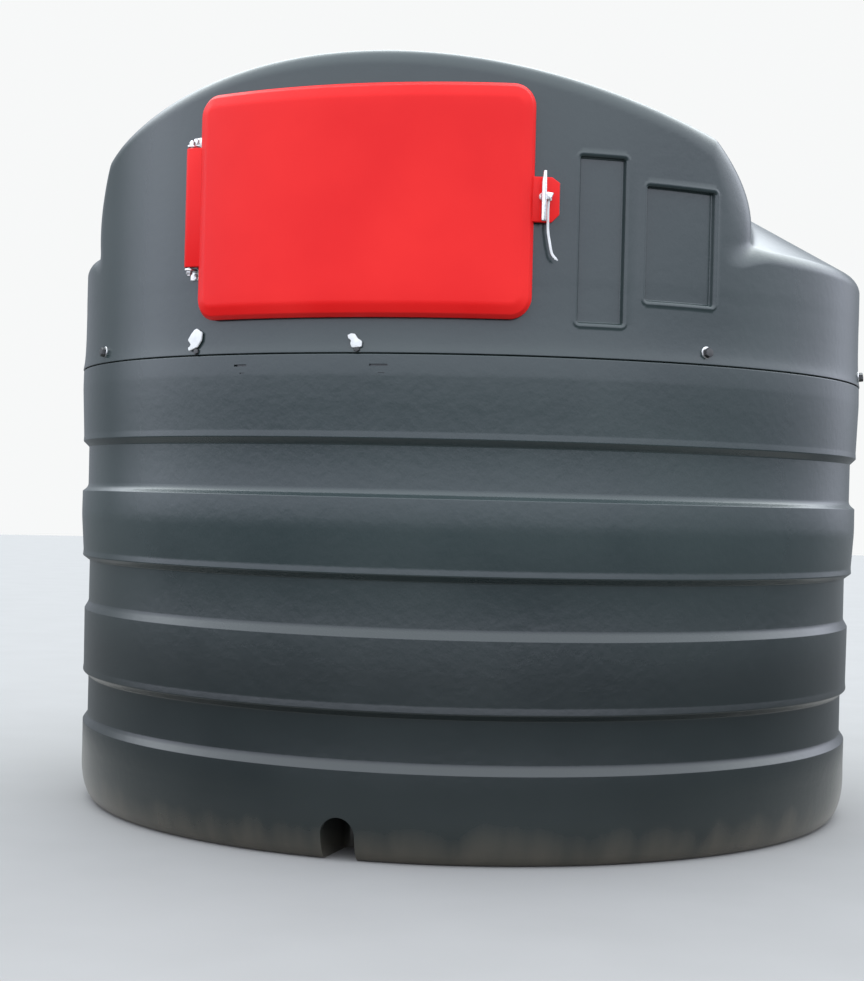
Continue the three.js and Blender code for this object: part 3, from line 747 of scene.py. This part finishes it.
def wall_radius(azimuth, z):
    """Radius of the upright wall: lip, flare and waist, less the sunk panels."""
    heights, radii = np.array(COVER_WALL).T
    offsets = np.array([-0.010, -0.005, 0.0, 0.005, 0.010])
    weights = np.array([1, 2, 3, 2, 1]) / 9
    radius = sum(w * np.interp(z + o, heights, radii) for w, o in zip(weights, offsets))
    s = np.radians(azimuth) * COVER_R
    for start, end, bottom, top in PANELS:
        middle = math.radians((start + end) / 2) * COVER_R
        half = math.radians((end - start) / 2) * COVER_R
        depth = -box_distance(s, z, middle, half, bottom, top, PANEL_CORNER)
        rise = np.clip((depth - BEAD_MIDDLE) / BEAD_HALF, -1, 1)
        radius = radius + BEAD_HEIGHT * np.cos(math.pi / 2 * rise) ** 2 - np.interp(depth, *PANEL_STEP)
    return radius


def cover_distance(x, y, z):
    """Less than zero inside the cover, and zero on its skin."""
    azimuth = np.degrees(np.arctan2(x, -y))
    in_hood = eased(0.5 - hood_distance(x, y, z) / HOOD_BLEND)
    hx, hy = in_hood_frame(x, y)
    at_roof = eased(0.5 + (vault_distance(hx, z) - side_distance(hx, hy, z)) / ROOF_BLEND)
    edge = BLENDS["corner"] + (BLENDS["brow"] - BLENDS["corner"]) * at_roof
    blend = BLENDS["shoulder"] + (edge - BLENDS["shoulder"]) * in_hood
    return inside_both(upper_distance(x, y, z), np.hypot(x, y) - wall_radius(azimuth, z), blend)


def spans(rows):
    """Numbers of several ranges, each given as first, end and step."""
    return np.concatenate([np.arange(*row) for row in rows])


def cover_azimuths():
    """Grid lines round the cover, denser in front, at the hood's corners and round the panels."""
    corners = spans(AZIMUTHS_AT_CORNERS)
    grown = math.degrees(JAMB_RADIUS / COVER_R)
    edges = [-OPENING_AZ - grown, OPENING_AZ + grown]
    for start, end, _, _ in PANELS:
        for inside in PANEL_LINES:
            edges += [start + math.degrees(inside / COVER_R), end - math.degrees(inside / COVER_R)]
    return with_edges([*spans(AZIMUTHS), *corners, *-corners], edges, CLEAR_AZIMUTH)


def with_edges(lines, edges, clearance):
    """Sorted lines and edges, without the lines that lie too near an edge."""
    kept = [line for line in lines if all(abs(line - e) > clearance for e in edges)]
    return np.array(sorted(kept + edges))


def cover_levels():
    """Heights at which the rows cross the upright wall."""
    edges = [OPENING_BOTTOM - JAMB_RADIUS, OPENING_TOP + JAMB_RADIUS]
    for _, _, bottom, top in PANELS:
        for inside in PANEL_LINES:
            edges += [bottom + inside, top - inside]
    return with_edges(spans(LEVELS), edges, CLEAR_LEVEL)


def cast(azimuth, level, elevation):
    """Where rays from the axis leave the cover: level rays below RAY_Z, then a fan upwards."""
    a = np.radians(azimuth)
    start = np.minimum(level, RAY_Z)
    across = np.cos(elevation)
    direction = np.stack([across * np.sin(a), -across * np.cos(a), np.sin(elevation)], -1)
    near, far = np.full(a.shape, RAY_NEAR), np.full(a.shape, RAY_FAR)
    for _ in range(RAY_HALVINGS):
        middle = (near + far) / 2
        p = direction * middle[..., None]
        outside = cover_distance(p[..., 0], p[..., 1], p[..., 2] + start) > 0
        far = np.where(outside, middle, far)
        near = np.where(outside, near, middle)
    points = direction * near[..., None]
    points[..., 2] += start
    return points


def surface_normals(points):
    x, y, z = points.T
    h = NORMAL_STEP
    gradient = np.stack([
        cover_distance(x + h, y, z) - cover_distance(x - h, y, z),
        cover_distance(x, y + h, z) - cover_distance(x, y - h, z),
        cover_distance(x, y, z + h) - cover_distance(x, y, z - h),
    ], -1)
    return gradient / np.linalg.norm(gradient, axis=1)[:, None]


def opening_distance(azimuth, z, grow=0.0):
    s = np.radians(azimuth) * COVER_R
    half = math.radians(OPENING_AZ) * COVER_R + grow
    corner = OPENING_CORNER + grow
    return box_distance(s, z, 0.0, half, OPENING_BOTTOM - grow, OPENING_TOP + grow, corner)


def opening_slopes(azimuth, level, grow=0.0):
    """Distance to the opening's outline, and how it grows round the wall and up it."""
    h = OUTLINE_STEP
    d = opening_distance(azimuth, level, grow)
    slope_a = (opening_distance(azimuth + math.degrees(h / COVER_R), level, grow) - d) / h
    slope_z = (opening_distance(azimuth, level + h, grow) - d) / h
    return d, slope_a, slope_z


def snap_to_opening(azimuth, level, edge):
    """Moves the grid points named by edge onto the outline of the opening."""
    d, slope_a, slope_z = opening_slopes(azimuth, level, JAMB_RADIUS)
    size = np.hypot(slope_a, slope_z) + 1e-9
    azimuth = np.where(edge, azimuth - np.degrees(d * slope_a / size / COVER_R), azimuth)
    level = np.where(edge, level - d * slope_z / size, level)
    return azimuth, level


def cover_shell():
    azimuths, levels = cover_azimuths(), cover_levels()
    top_elevation = math.atan2(levels[-1] - RAY_Z, COVER_R)
    fan = np.radians([*spans(FANS), FAN_LAST])
    fan = fan[fan > top_elevation + CLEAR_FAN]
    columns = len(azimuths)
    azimuth, level = np.meshgrid(azimuths, levels)

    # Cells inside the door opening are left out and the points round them snapped to it
    middle_a = (azimuth[:-1] + np.roll(azimuth, -1, 1)[:-1]) / 2
    middle_z = (level[:-1] + level[1:]) / 2
    hole = opening_distance(middle_a, middle_z, JAMB_RADIUS) < 0
    near_hole, near_wall = np.zeros(level.shape, bool), np.zeros(level.shape, bool)
    for cells, marks in ((hole, near_hole), (~hole, near_wall)):
        for rows in (slice(0, -1), slice(1, None)):
            marks[rows] |= cells
            marks[rows] |= np.roll(cells, 1, 1)
    rim = near_hole & near_wall
    azimuth, level = snap_to_opening(azimuth, level, rim)

    elevation = np.arctan2(np.maximum(level - RAY_Z, 0), COVER_R)
    azimuth = np.vstack([azimuth, np.tile(azimuths, (len(fan), 1))])
    level = np.vstack([level, np.full((len(fan), columns), RAY_Z)])
    elevation = np.vstack([elevation, np.tile(fan[:, None], (1, columns))])
    rows = len(level)
    points = cast(azimuth, level, elevation).reshape(-1, 3)
    normals = surface_normals(points)

    faces = grid_faces(rows, columns, True)
    skip = hole.ravel()
    faces = [f for i, f in enumerate(faces) if i >= len(skip) or not skip[i]]
    last, pole = (rows - 1) * columns, len(points)
    faces += [(last + j, last + (j + 1) % columns, pole) for j in range(columns)]
    points = np.vstack([points, [0, 0, VAULT_TOP]])
    normals = np.vstack([normals, [0, 0, 1]])

    bm = bmesh.new()
    made = [bm.verts.new(p) for p in points]
    for f in faces:
        bm.faces.new([made[i] for i in f])
    bmesh.ops.delete(bm, geom=[v for v in bm.verts if not v.link_faces], context="VERTS")
    kept = {v: Vector(n) for v, n in zip(made, normals) if v.is_valid}
    add_jamb(bm)
    add_lip(bm)
    bm.verts.index_update()
    mesh = bpy.data.meshes.new("cover_shell")
    custom = [kept.get(v, Vector()) for v in bm.verts]
    bm.to_mesh(mesh)
    bm.free()
    mesh.shade_smooth()
    mesh.normals_split_custom_set_from_vertices(custom)
    solids = ["front_sill", "front_header", "front_wall_left", "front_wall_right"]
    for part in ("cover_skirt", "cone_roof"):
        solids += [f"{part}_{side}" for side in ("right", "back", "left")]
    solids += ["hood_side_right", "hood_side_left", "hood_back", "hood_roof"]
    new_piece("cover_shell", mesh, SLATE, "tank", solids)


def open_edges(bm, wanted):
    return [e for e in bm.edges if len(e.link_faces) == 1 and all(wanted(v.co) for v in e.verts)]


def extrude_rim(bm, edges, place):
    """Extrudes open edges; place gives each new point from the one it grew from."""
    made = bmesh.ops.extrude_edge_only(bm, edges=edges)["geom"]
    verts = [g for g in made if isinstance(g, bmesh.types.BMVert)]
    for v in verts:
        v.co = place(v.co)
    return [g for g in made if isinstance(g, bmesh.types.BMEdge)]


def add_jamb(bm):
    """Rounds the edge of the opening and turns it in through the wall."""
    def inward_by(across, deep):
        def place(p):
            azimuth = math.degrees(math.atan2(p.x, -p.y))
            _, slope_a, slope_z = opening_slopes(azimuth, p.z)
            turned = azimuth - math.degrees(across * slope_a / COVER_R)
            return at(turned, math.hypot(p.x, p.y) - deep, p.z - across * slope_z)
        return place

    edges = open_edges(bm, lambda p: p.z > RIMS_PART_Z)
    for across, deep in JAMB_STEPS:
        edges = extrude_rim(bm, edges, inward_by(across, deep))


def add_lip(bm):
    """Rounds the lower edge of the cover and turns it in over the bund."""
    edges = open_edges(bm, lambda p: p.z < RIMS_PART_Z)
    turns = angles(QUARTER, 5)
    for before, t in zip(turns, turns[1:]):
        inset = LIP_RADIUS * (math.cos(before) - math.cos(t))
        drop = LIP_RADIUS * (math.sin(t) - math.sin(before))
        edges = extrude_rim(bm, edges, lambda p, i=inset, d=drop: shrunk(p, i, d))
    extrude_rim(bm, edges, lambda p: shrunk(p, LIP_INWARD, 0.0))


def shrunk(p, inset, drop):
    rho = math.hypot(p.x, p.y)
    return Vector((p.x * (rho - inset) / rho, p.y * (rho - inset) / rho, p.z - drop))


# Door

def rounded_rectangle(s0, s1, z0, z1, corner, inset, along=10, turn=8):
    """Outline from the lower right corner round to it again, inset from the rectangle."""
    c = max(corner - inset, MIN_CORNER)
    s0, s1, z0, z1 = s0 + inset, s1 - inset, z0 + inset, z1 - inset
    centres = [(s1 - c, z0 + c, -90), (s1 - c, z1 - c, 0), (s0 + c, z1 - c, 90), (s0 + c, z0 + c, 180)]
    points = []
    for i, (s, z, start) in enumerate(centres):
        for k in range(turn + 1):
            t = math.radians(start + 90 * k / turn)
            points.append((s + c * math.cos(t), z + c * math.sin(t)))
        following = centres[(i + 1) % 4]
        t = math.radians(start + 90)
        end = (following[0] + c * math.cos(t), following[1] + c * math.sin(t))
        here = points[-1]
        count = along * (3 if i % 2 else 2)  # the level sides are the long ones
        for k in range(1, count):
            points.append(tuple(here[j] + (end[j] - here[j]) * k / count for j in range(2)))
    return points


def door_ring(inset, radius, shrink=1.0):
    """Ring of the door at an inset from its outline, drawn towards the middle by shrink."""
    s0, s1 = (math.radians(a) * DOOR_R_OUT for a in (DOOR_FROM, DOOR_TO))
    outline = rounded_rectangle(s0, s1, DOOR_BOTTOM, DOOR_TOP, DOOR_CORNER, inset)
    ms, mz = (s0 + s1) / 2, (DOOR_BOTTOM + DOOR_TOP) / 2
    points = []
    for s, z in outline:
        s, z = ms + (s - ms) * shrink, mz + (z - mz) * shrink
        points.append(tuple(at(math.degrees(s / DOOR_R_OUT), radius, z)))
    return points


def door_panel():
    """Moulded door: soft edge, chamfer, sloped margin, face curved as the wall, dished back."""
    section = [  # inset from the outline, radius from the axis, corner radius
        (DOOR_RIM, DOOR_R_IN, 0.0),
        (0.0, DOOR_R_IN, 0.003),
        (0.0, DOOR_SIDE_R, 0.005),
        (*DOOR_CHAMFER, 0.009),
        (DOOR_BEVEL, DOOR_R_OUT, 0.040),
        (DOOR_FACE, DOOR_R_OUT, 0.0),
    ]
    profile = [tuple(p) for p in filleted(section, math.radians(7))]
    rings = [door_ring(inset, radius) for inset, radius in profile]
    rings += [door_ring(DOOR_FACE, DOOR_R_OUT, shrink) for shrink in DOOR_FACE_RINGS]
    behind = [door_ring(inset, DOOR_R_IN + deep) for inset, deep in DOOR_DISH]
    inset, deep = DOOR_DISH[-1]
    behind += [door_ring(inset, DOOR_R_IN + deep, shrink) for shrink in DOOR_BACK_RINGS]
    mesh = fix_normals(loft([*reversed(behind), *rings], sharp_angle=50))
    new_piece("door_skin", mesh, RED, "door", ["door_panel"])


# Cabinet

def cabinet_liner():
    """Moulded box behind the opening, open in front, with round corners and back edges."""
    def ring(grow, y=None, shrink=1.0):
        inset = -CABINET_GROW - grow
        outline = rounded_rectangle(
            -CABINET_HALF, CABINET_HALF, OPENING_BOTTOM, OPENING_TOP, OPENING_CORNER, inset, along=8)
        middle = (OPENING_BOTTOM + OPENING_TOP) / 2
        points = [(x * shrink, middle + (z - middle) * shrink) for x, z in outline]
        return [(x, -math.sqrt(CABINET_FRONT_R ** 2 - x * x) if y is None else y, z) for x, z in points]

    r = CABINET_BACK_RADIUS
    bend = [(r * (1 - math.cos(t)), r * (1 - math.sin(t))) for t in angles(QUARTER, 6)]
    inner = [ring(0.0), *[ring(-inset, CABINET_BACK_Y - short) for inset, short in bend]]
    inner += [ring(-CABINET_BACK_RADIUS, CABINET_BACK_Y, s) for s in (0.8, 0.5, 0.2)]
    back = CABINET_BACK_Y + CABINET_WALL
    outer = [ring(CABINET_WALL - CABINET_BACK_RADIUS, back, s) for s in (0.2, 0.6)]
    outer += [ring(CABINET_WALL - inset, back - short) for inset, short in reversed(bend)]
    outer.append(ring(CABINET_WALL))
    mesh = fix_normals(loft([*reversed(inner), *reversed(outer)], sharp_angle=45))
    solids = ["cabinet_" + part for part in ("floor", "top", "side_right", "side_left", "back")]
    new_piece("cabinet_liner", mesh, SLATE, "tank", solids)


# Hinge

def hinge_leaf():
    """Knuckle round the pin, with the web that joins it to the door."""
    turns = [math.radians(a) for a in range(-90, -286, -15)]
    knuckle = [(KNUCKLE_R * math.cos(t), HINGE_R + KNUCKLE_R * math.sin(t)) for t in turns]
    length = LEAF_TOP - LEAF_BOTTOM
    leaf = slab([*knuckle, *LEAF_WEB], length, LEAF_EDGE, both=True)
    bore = stud([(BORE_R, -BORE_OVER), (BORE_R, length + BORE_OVER)], 24)
    put(bore, HINGE_AZ, HINGE_R, LEAF_TOP, FACE_DOWN)
    mesh = boolean(put(leaf, HINGE_AZ, 0.0, LEAF_TOP, FACE_DOWN), bore)
    mesh.set_sharp_from_angle(angle=math.radians(SHARP_ANGLE))
    new_piece("hinge_leaf", mesh, RED, "door", ["door_hinge_leaf"])


HEX_HEAD = [(0.0080, 0.0), (0.0080, 0.0040), (0.0072, 0.0052), (0.0030, 0.0056)]
PIN_NUT = [(0.0085, 0.0), (0.0085, 0.0075), (0.0074, 0.0090), (0.0030, 0.0094)]
PIN_END = [(PIN_R, -0.014), (PIN_R, 0.0115), (0.0040, 0.0125)]


def hinge_brackets():
    """Bolted plate with an ear over the end of the leaf, and the pin's head on the ear."""
    x, z = BRACKET_WIDTH / 2, BRACKET_HEIGHT / 2
    plate_outline = rounded(rectangle(x, z), PLATE_CORNER)
    turns = angles(math.pi, 12)
    ear_outline = [(EAR_HALF * math.cos(t), HINGE_R + EAR_HALF * math.sin(t)) for t in turns]
    ear_outline += [(-EAR_HALF, COVER_R), (EAR_HALF, COVER_R)]
    ends = [("upper", LEAF_TOP + LEAF_PLAY, 1, FACE_UP), ("lower", LEAF_BOTTOM - LEAF_PLAY, -1, FACE_DOWN)]
    for (name, end, side, facing), across in zip(ends, BRACKET_BOLTS_ACROSS):
        middle, outside = end + side * z, end + side * BRACKET_EAR
        ear = slab(ear_outline, BRACKET_EAR, EAR_EDGE, both=True)
        bolt_place = COVER_R + BRACKET_PLATE, middle + side * BRACKET_BOLT_OFFSET
        mesh = join_meshes(
            put(slab(plate_outline, BRACKET_PLATE, PLATE_EDGE), HINGE_AZ, COVER_R, middle),
            put(ear, HINGE_AZ, 0.0, max(end, outside), FACE_DOWN),
            put(stud(HEX_HEAD, 6), HINGE_AZ, *bolt_place, across=across),
            put(stud(PIN_NUT, 6), HINGE_AZ, HINGE_R, outside, facing),
            put(stud(PIN_END, 24), HINGE_AZ, HINGE_R, outside, facing),
        )
        new_piece("bracket_" + name, mesh, ZINC, "tank", ["hinge_bracket_" + name])


# Latch

def latch():
    tab = slab(rounded(TAB_OUTLINE, TAB_CORNER), TAB_THICKNESS, TAB_EDGE)
    put(tab, LATCH_AZ, TAB_R, 0.0)
    new_piece("latch_plate", tab, RED, "door", ["door_latch_tab"])
    face = TAB_R + TAB_THICKNESS
    spindle = stud([(SPINDLE_R, 0.0), (SPINDLE_R, BAR_R - face + SPINDLE_INTO_BAR)], 24)
    bar = slab(rounded(BAR_OUTLINE, BAR_CORNER), BAR_DEPTH, BAR_EDGE, both=True)
    lever = slab(rounded(LEVER_OUTLINE, LEVER_CORNER), LEVER_DEPTH, LEVER_EDGE, both=True)
    mesh = join_meshes(
        put(bar, LATCH_AZ, BAR_R, 0.0),
        put(lever, LATCH_AZ, BAR_R - LEVER_BACK, 0.0),
        put(spindle, LATCH_AZ, face - SPINDLE_SUNK, SPINDLE_Z, across=SPINDLE_X),
        put(stud(COLLAR, 24), LATCH_AZ, face - SPINDLE_SUNK, SPINDLE_Z, across=SPINDLE_X),
    )
    new_piece("latch_handle", mesh, ZINC, "door", ["latch_bar"])


def smooth_path(points, steps):
    """Catmull-Rom curve through points."""
    points = [Vector(p) for p in points]
    points = [2 * points[0] - points[1], *points, 2 * points[-1] - points[-2]]
    made = []
    for a, b, c, d in zip(points, points[1:], points[2:], points[3:]):
        for k in range(steps):
            t = k / steps
            square = (2 * a - 5 * b + 4 * c - d) * t ** 2
            cube = (3 * b - a - 3 * c + d) * t ** 3
            made.append(0.5 * (2 * b + (c - a) * t + square + cube))
    return [*made, points[-2]]


def cable_tie():
    """Strap that hangs from the latch's lever, with a small head at its top."""
    path = smooth_path(TIE_PATH, 5)
    rings = []
    for i, p in enumerate(path):
        along = (path[min(i + 1, len(path) - 1)] - path[max(i - 1, 0)]).normalized()
        side = Vector((along.y, -along.x)) * TIE_WIDTH / 2
        taper = 1.0 if i < len(path) - TIE_TIP else TIE_TIP_WIDTH
        ring = []
        for s, d in TIE_SECTION:
            q = p + side * s * taper
            ring.append((q.x, -TIE_R - d * TIE_THICKNESS / 2, q.y))
        rings.append(ring)
    strap = fix_normals(loft(rings, sharp_angle=50))
    head = slab(rounded(TIE_HEAD, TIE_HEAD_CORNER), TIE_HEAD_DEPTH, TIE_HEAD_EDGE)
    put(head, LATCH_AZ, TIE_R - TIE_HEAD_BACK, 0.0)
    mesh = join_meshes(put(strap, LATCH_AZ, 0.0, 0.0), head)
    new_piece("cable_tie", mesh, WHITE, "door", ["latch_tie"])


# Seam

BOLT_HEAD = [(0.0130, 0.0), (0.0130, 0.0090), (0.0116, 0.0112), (0.0040, 0.0120)]
WASHER = [(0.0150, 0.0), (0.0150, 0.0020), (0.0142, 0.0027), (0.0060, 0.0027)]
SEAL_SHADOW_STUD_HEAD = [(0.0085, 0.0), (0.0085, 0.0050), (0.0072, 0.0064), (0.0030, 0.0068)]


def seam_fittings():
    washers, bolt_heads_and_shadow_studs = [], []
    for azimuth in BOLT_AZIMUTHS:
        washers.append(put(stud(WASHER, 32), azimuth, BOLT_R, BOLT_Z, SEAM_LEAN))
        place = BOLT_R + BOLT_OUT, BOLT_Z - BOLT_DOWN, SEAM_LEAN, BOLT_ACROSS
        bolt_heads_and_shadow_studs.append(put(stud(BOLT_HEAD, 6), azimuth, *place))
    # painted shadow: black studs under the seals, for the shadow beneath each
    for azimuth in SEAL_SHADOW_STUDS:
        bolt_heads_and_shadow_studs.append(put(stud(SEAL_SHADOW_STUD_HEAD, 6), azimuth, SEAL_SHADOW_STUD_R, SEAL_SHADOW_STUD_Z, SEAM_LEAN))
    new_piece("seam_washers", join_meshes(*washers), ZINC, "tank")
    new_piece("seam_bolts_and_shadow_studs", join_meshes(*bolt_heads_and_shadow_studs), BLACK_STEEL_AND_SHADOW, "tank")
    seals = []
    for outline in SEALS:
        middle = sum(a for a, _ in outline) / len(outline)
        low = min(z for _, z in outline)
        flat = [(math.radians(a - middle) * COVER_R, z - low) for a, z in outline]
        seal = slab(rounded(flat, SEAL_CORNER), SEAL_THICKNESS, SEAL_EDGE)
        seals.append(put(seal, middle, SEAL_R, low, SEAM_LEAN))
    new_piece("seals", join_meshes(*seals), WHITE, "tank")


# Carried-over solids

def dress_frame():
    for row in frame["record"]["subparts"]:
        solid = frame["nodes"][row["node"]]
        solid.data.materials.clear()
        solid.data.materials.append(SLOTS[row["material_slot"]])


# Stage

CAMERA_AT = (1.433, -5.237, 0.889)
CAMERA_AZ = 15.3
CAMERA_YAW, CAMERA_PITCH, CAMERA_ROLL = (math.radians(a) for a in (-1.13, 0.26, 1.40))
FOCAL_PIXELS = 1788
IMAGE_LONG_SIDE = 981
SENSOR = 36.0
CAMERA_REACH = 100


def camera():
    data = bpy.data.cameras.new("camera")
    made = bpy.data.objects.new("camera", data)
    bpy.context.scene.collection.objects.link(made)
    yaw, pitch, roll = CAMERA_YAW, CAMERA_PITCH, CAMERA_ROLL
    forward = Vector((math.sin(yaw) * math.cos(pitch), math.cos(yaw) * math.cos(pitch), math.sin(pitch)))
    right = Vector((math.cos(yaw), -math.sin(yaw), 0))
    up = right.cross(forward)
    across = math.cos(roll) * right + math.sin(roll) * up
    upright = -math.sin(roll) * right + math.cos(roll) * up
    turned = Matrix((across, upright, -forward)).transposed()
    turn = Matrix.Rotation(math.radians(CAMERA_AZ), 3, "Z")
    made.matrix_world = Matrix.Translation(CAMERA_AT) @ (turn @ turned).to_4x4()
    data.sensor_width = SENSOR
    data.lens = SENSOR * FOCAL_PIXELS / IMAGE_LONG_SIDE
    data.clip_end = CAMERA_REACH
    bpy.context.scene.camera = made


BOUNCE_NEAR = (0.26, 0.25, 0.23)  # what the floor throws back onto the tank
BOUNCE_FAR = (0.035, 0.036, 0.036)
BOUNCE_REACH = (1.25, 2.5)  # distances from the axis where it starts to fade and has faded
FLOOR_TONES = (0.215, 0.212, 0.205), (0.225, 0.222, 0.215)
FLOOR_R, FLOOR_SIDES = 30.0, 128


def floor():
    turns = angles(math.tau, FLOOR_SIDES)[:-1]
    points = [(FLOOR_R * math.cos(t), FLOOR_R * math.sin(t), 0) for t in turns]
    mesh = mesh_from(points, [tuple(range(FLOOR_SIDES))])
    made = bpy.data.objects.new("floor", mesh)
    bpy.context.scene.collection.objects.link(made)
    material, tree, shader, place = new_material("floor_pale")
    cloud = noise(tree, place, scale=3.0, detail=3.0)
    colour = mixed(tree, spread(tree, cloud, *MIDST), *FLOOR_TONES)
    away = node(tree, "ShaderNodeVectorMath", {0: place}, operation="LENGTH").outputs["Value"]
    bounce = mixed(tree, spread(tree, away, *BOUNCE_REACH), BOUNCE_NEAR, BOUNCE_FAR)
    colour = mixed(tree, node(tree, "ShaderNodeLightPath").outputs["Is Camera Ray"], bounce, colour)
    tree.links.new(colour, shader.inputs["Base Color"])
    shader.inputs["Roughness"].default_value = 0.9
    mesh.materials.append(material)


SKY = (0.88, 0.91, 1.06)
SKY_TOP = (1.26, 1.34, 1.46)
GLOW = (1.85, 1.98, 2.05)  # high behind the tank
GLOW_AIM = (-0.26, 0.966, 0.0)
GROUND = (0.035, 0.036, 0.036)
SKY_RISE, GLOW_RISE, HORIZON = (0.12, 0.60), (0.35, 0.60), (-0.11, 0.05)  # sines of the elevation
GLOW_REACH = (0.0, 0.45)  # cosines from GLOW_AIM where it begins and is full
FLAG = (0.10, 0.11, 0.12)
# Dim parts low in the studio: direction, cosines where they begin and are full, height, share
FLAGS = [
    ((-0.50, 0.866, 0.0), 0.45, 0.75, (0.30, 0.50), 0.92),
    ((0.88, 0.475, 0.0), 0.40, 0.90, (0.10, 0.26), 0.50),
]
BACKDROP = (0.93, 0.94, 0.94)
SKY_STRENGTH = 2.2


def dot(tree, a, b):
    return node(tree, "ShaderNodeVectorMath", {0: a, 1: b}, operation="DOT_PRODUCT").outputs["Value"]


def sky():
    """Overcast studio, brighter above and behind, over a dim ground; the camera sees a backdrop."""
    world = bpy.data.worlds.new("studio")
    bpy.context.scene.world = world
    world.use_nodes = True
    tree = world.node_tree
    tree.nodes.clear()
    direction = node(tree, "ShaderNodeTexCoord").outputs["Generated"]
    up = node(tree, "ShaderNodeSeparateXYZ", {0: direction}).outputs[2]
    light = mixed(tree, spread(tree, up, *SKY_RISE), SKY, SKY_TOP)
    behind = spread(tree, dot(tree, direction, GLOW_AIM), *GLOW_REACH)
    glow = math_node(tree, "MULTIPLY", behind, spread(tree, up, *GLOW_RISE))
    light = mixed(tree, glow, light, GLOW)
    light = mixed(tree, spread(tree, up, *HORIZON), GROUND, light)
    for aim, begin, full, (low, high), share in FLAGS:
        across = spread(tree, dot(tree, direction, aim), begin, full)
        held = math_node(tree, "MULTIPLY", across, spread(tree, up, low, high, share, 0.0))
        light = mixed(tree, held, light, FLAG)
    lit = node(tree, "ShaderNodeBackground", {0: light, 1: SKY_STRENGTH}).outputs[0]
    seen = node(tree, "ShaderNodeBackground", {0: (*BACKDROP, 1), 1: 1.0}).outputs[0]
    direct = node(tree, "ShaderNodeLightPath").outputs["Is Camera Ray"]
    shown = node(tree, "ShaderNodeMixShader", {0: direct, 1: lit, 2: seen}).outputs[0]
    node(tree, "ShaderNodeOutputWorld", {0: shown})


bund_shell()
arch_recess()
cover_shell()
door_panel()
cabinet_liner()
hinge_leaf()
hinge_brackets()
latch()
cable_tie()
seam_fittings()
dress_frame()
camera()
floor()
sky()
bpy.context.scene.view_settings.view_transform = "Standard"
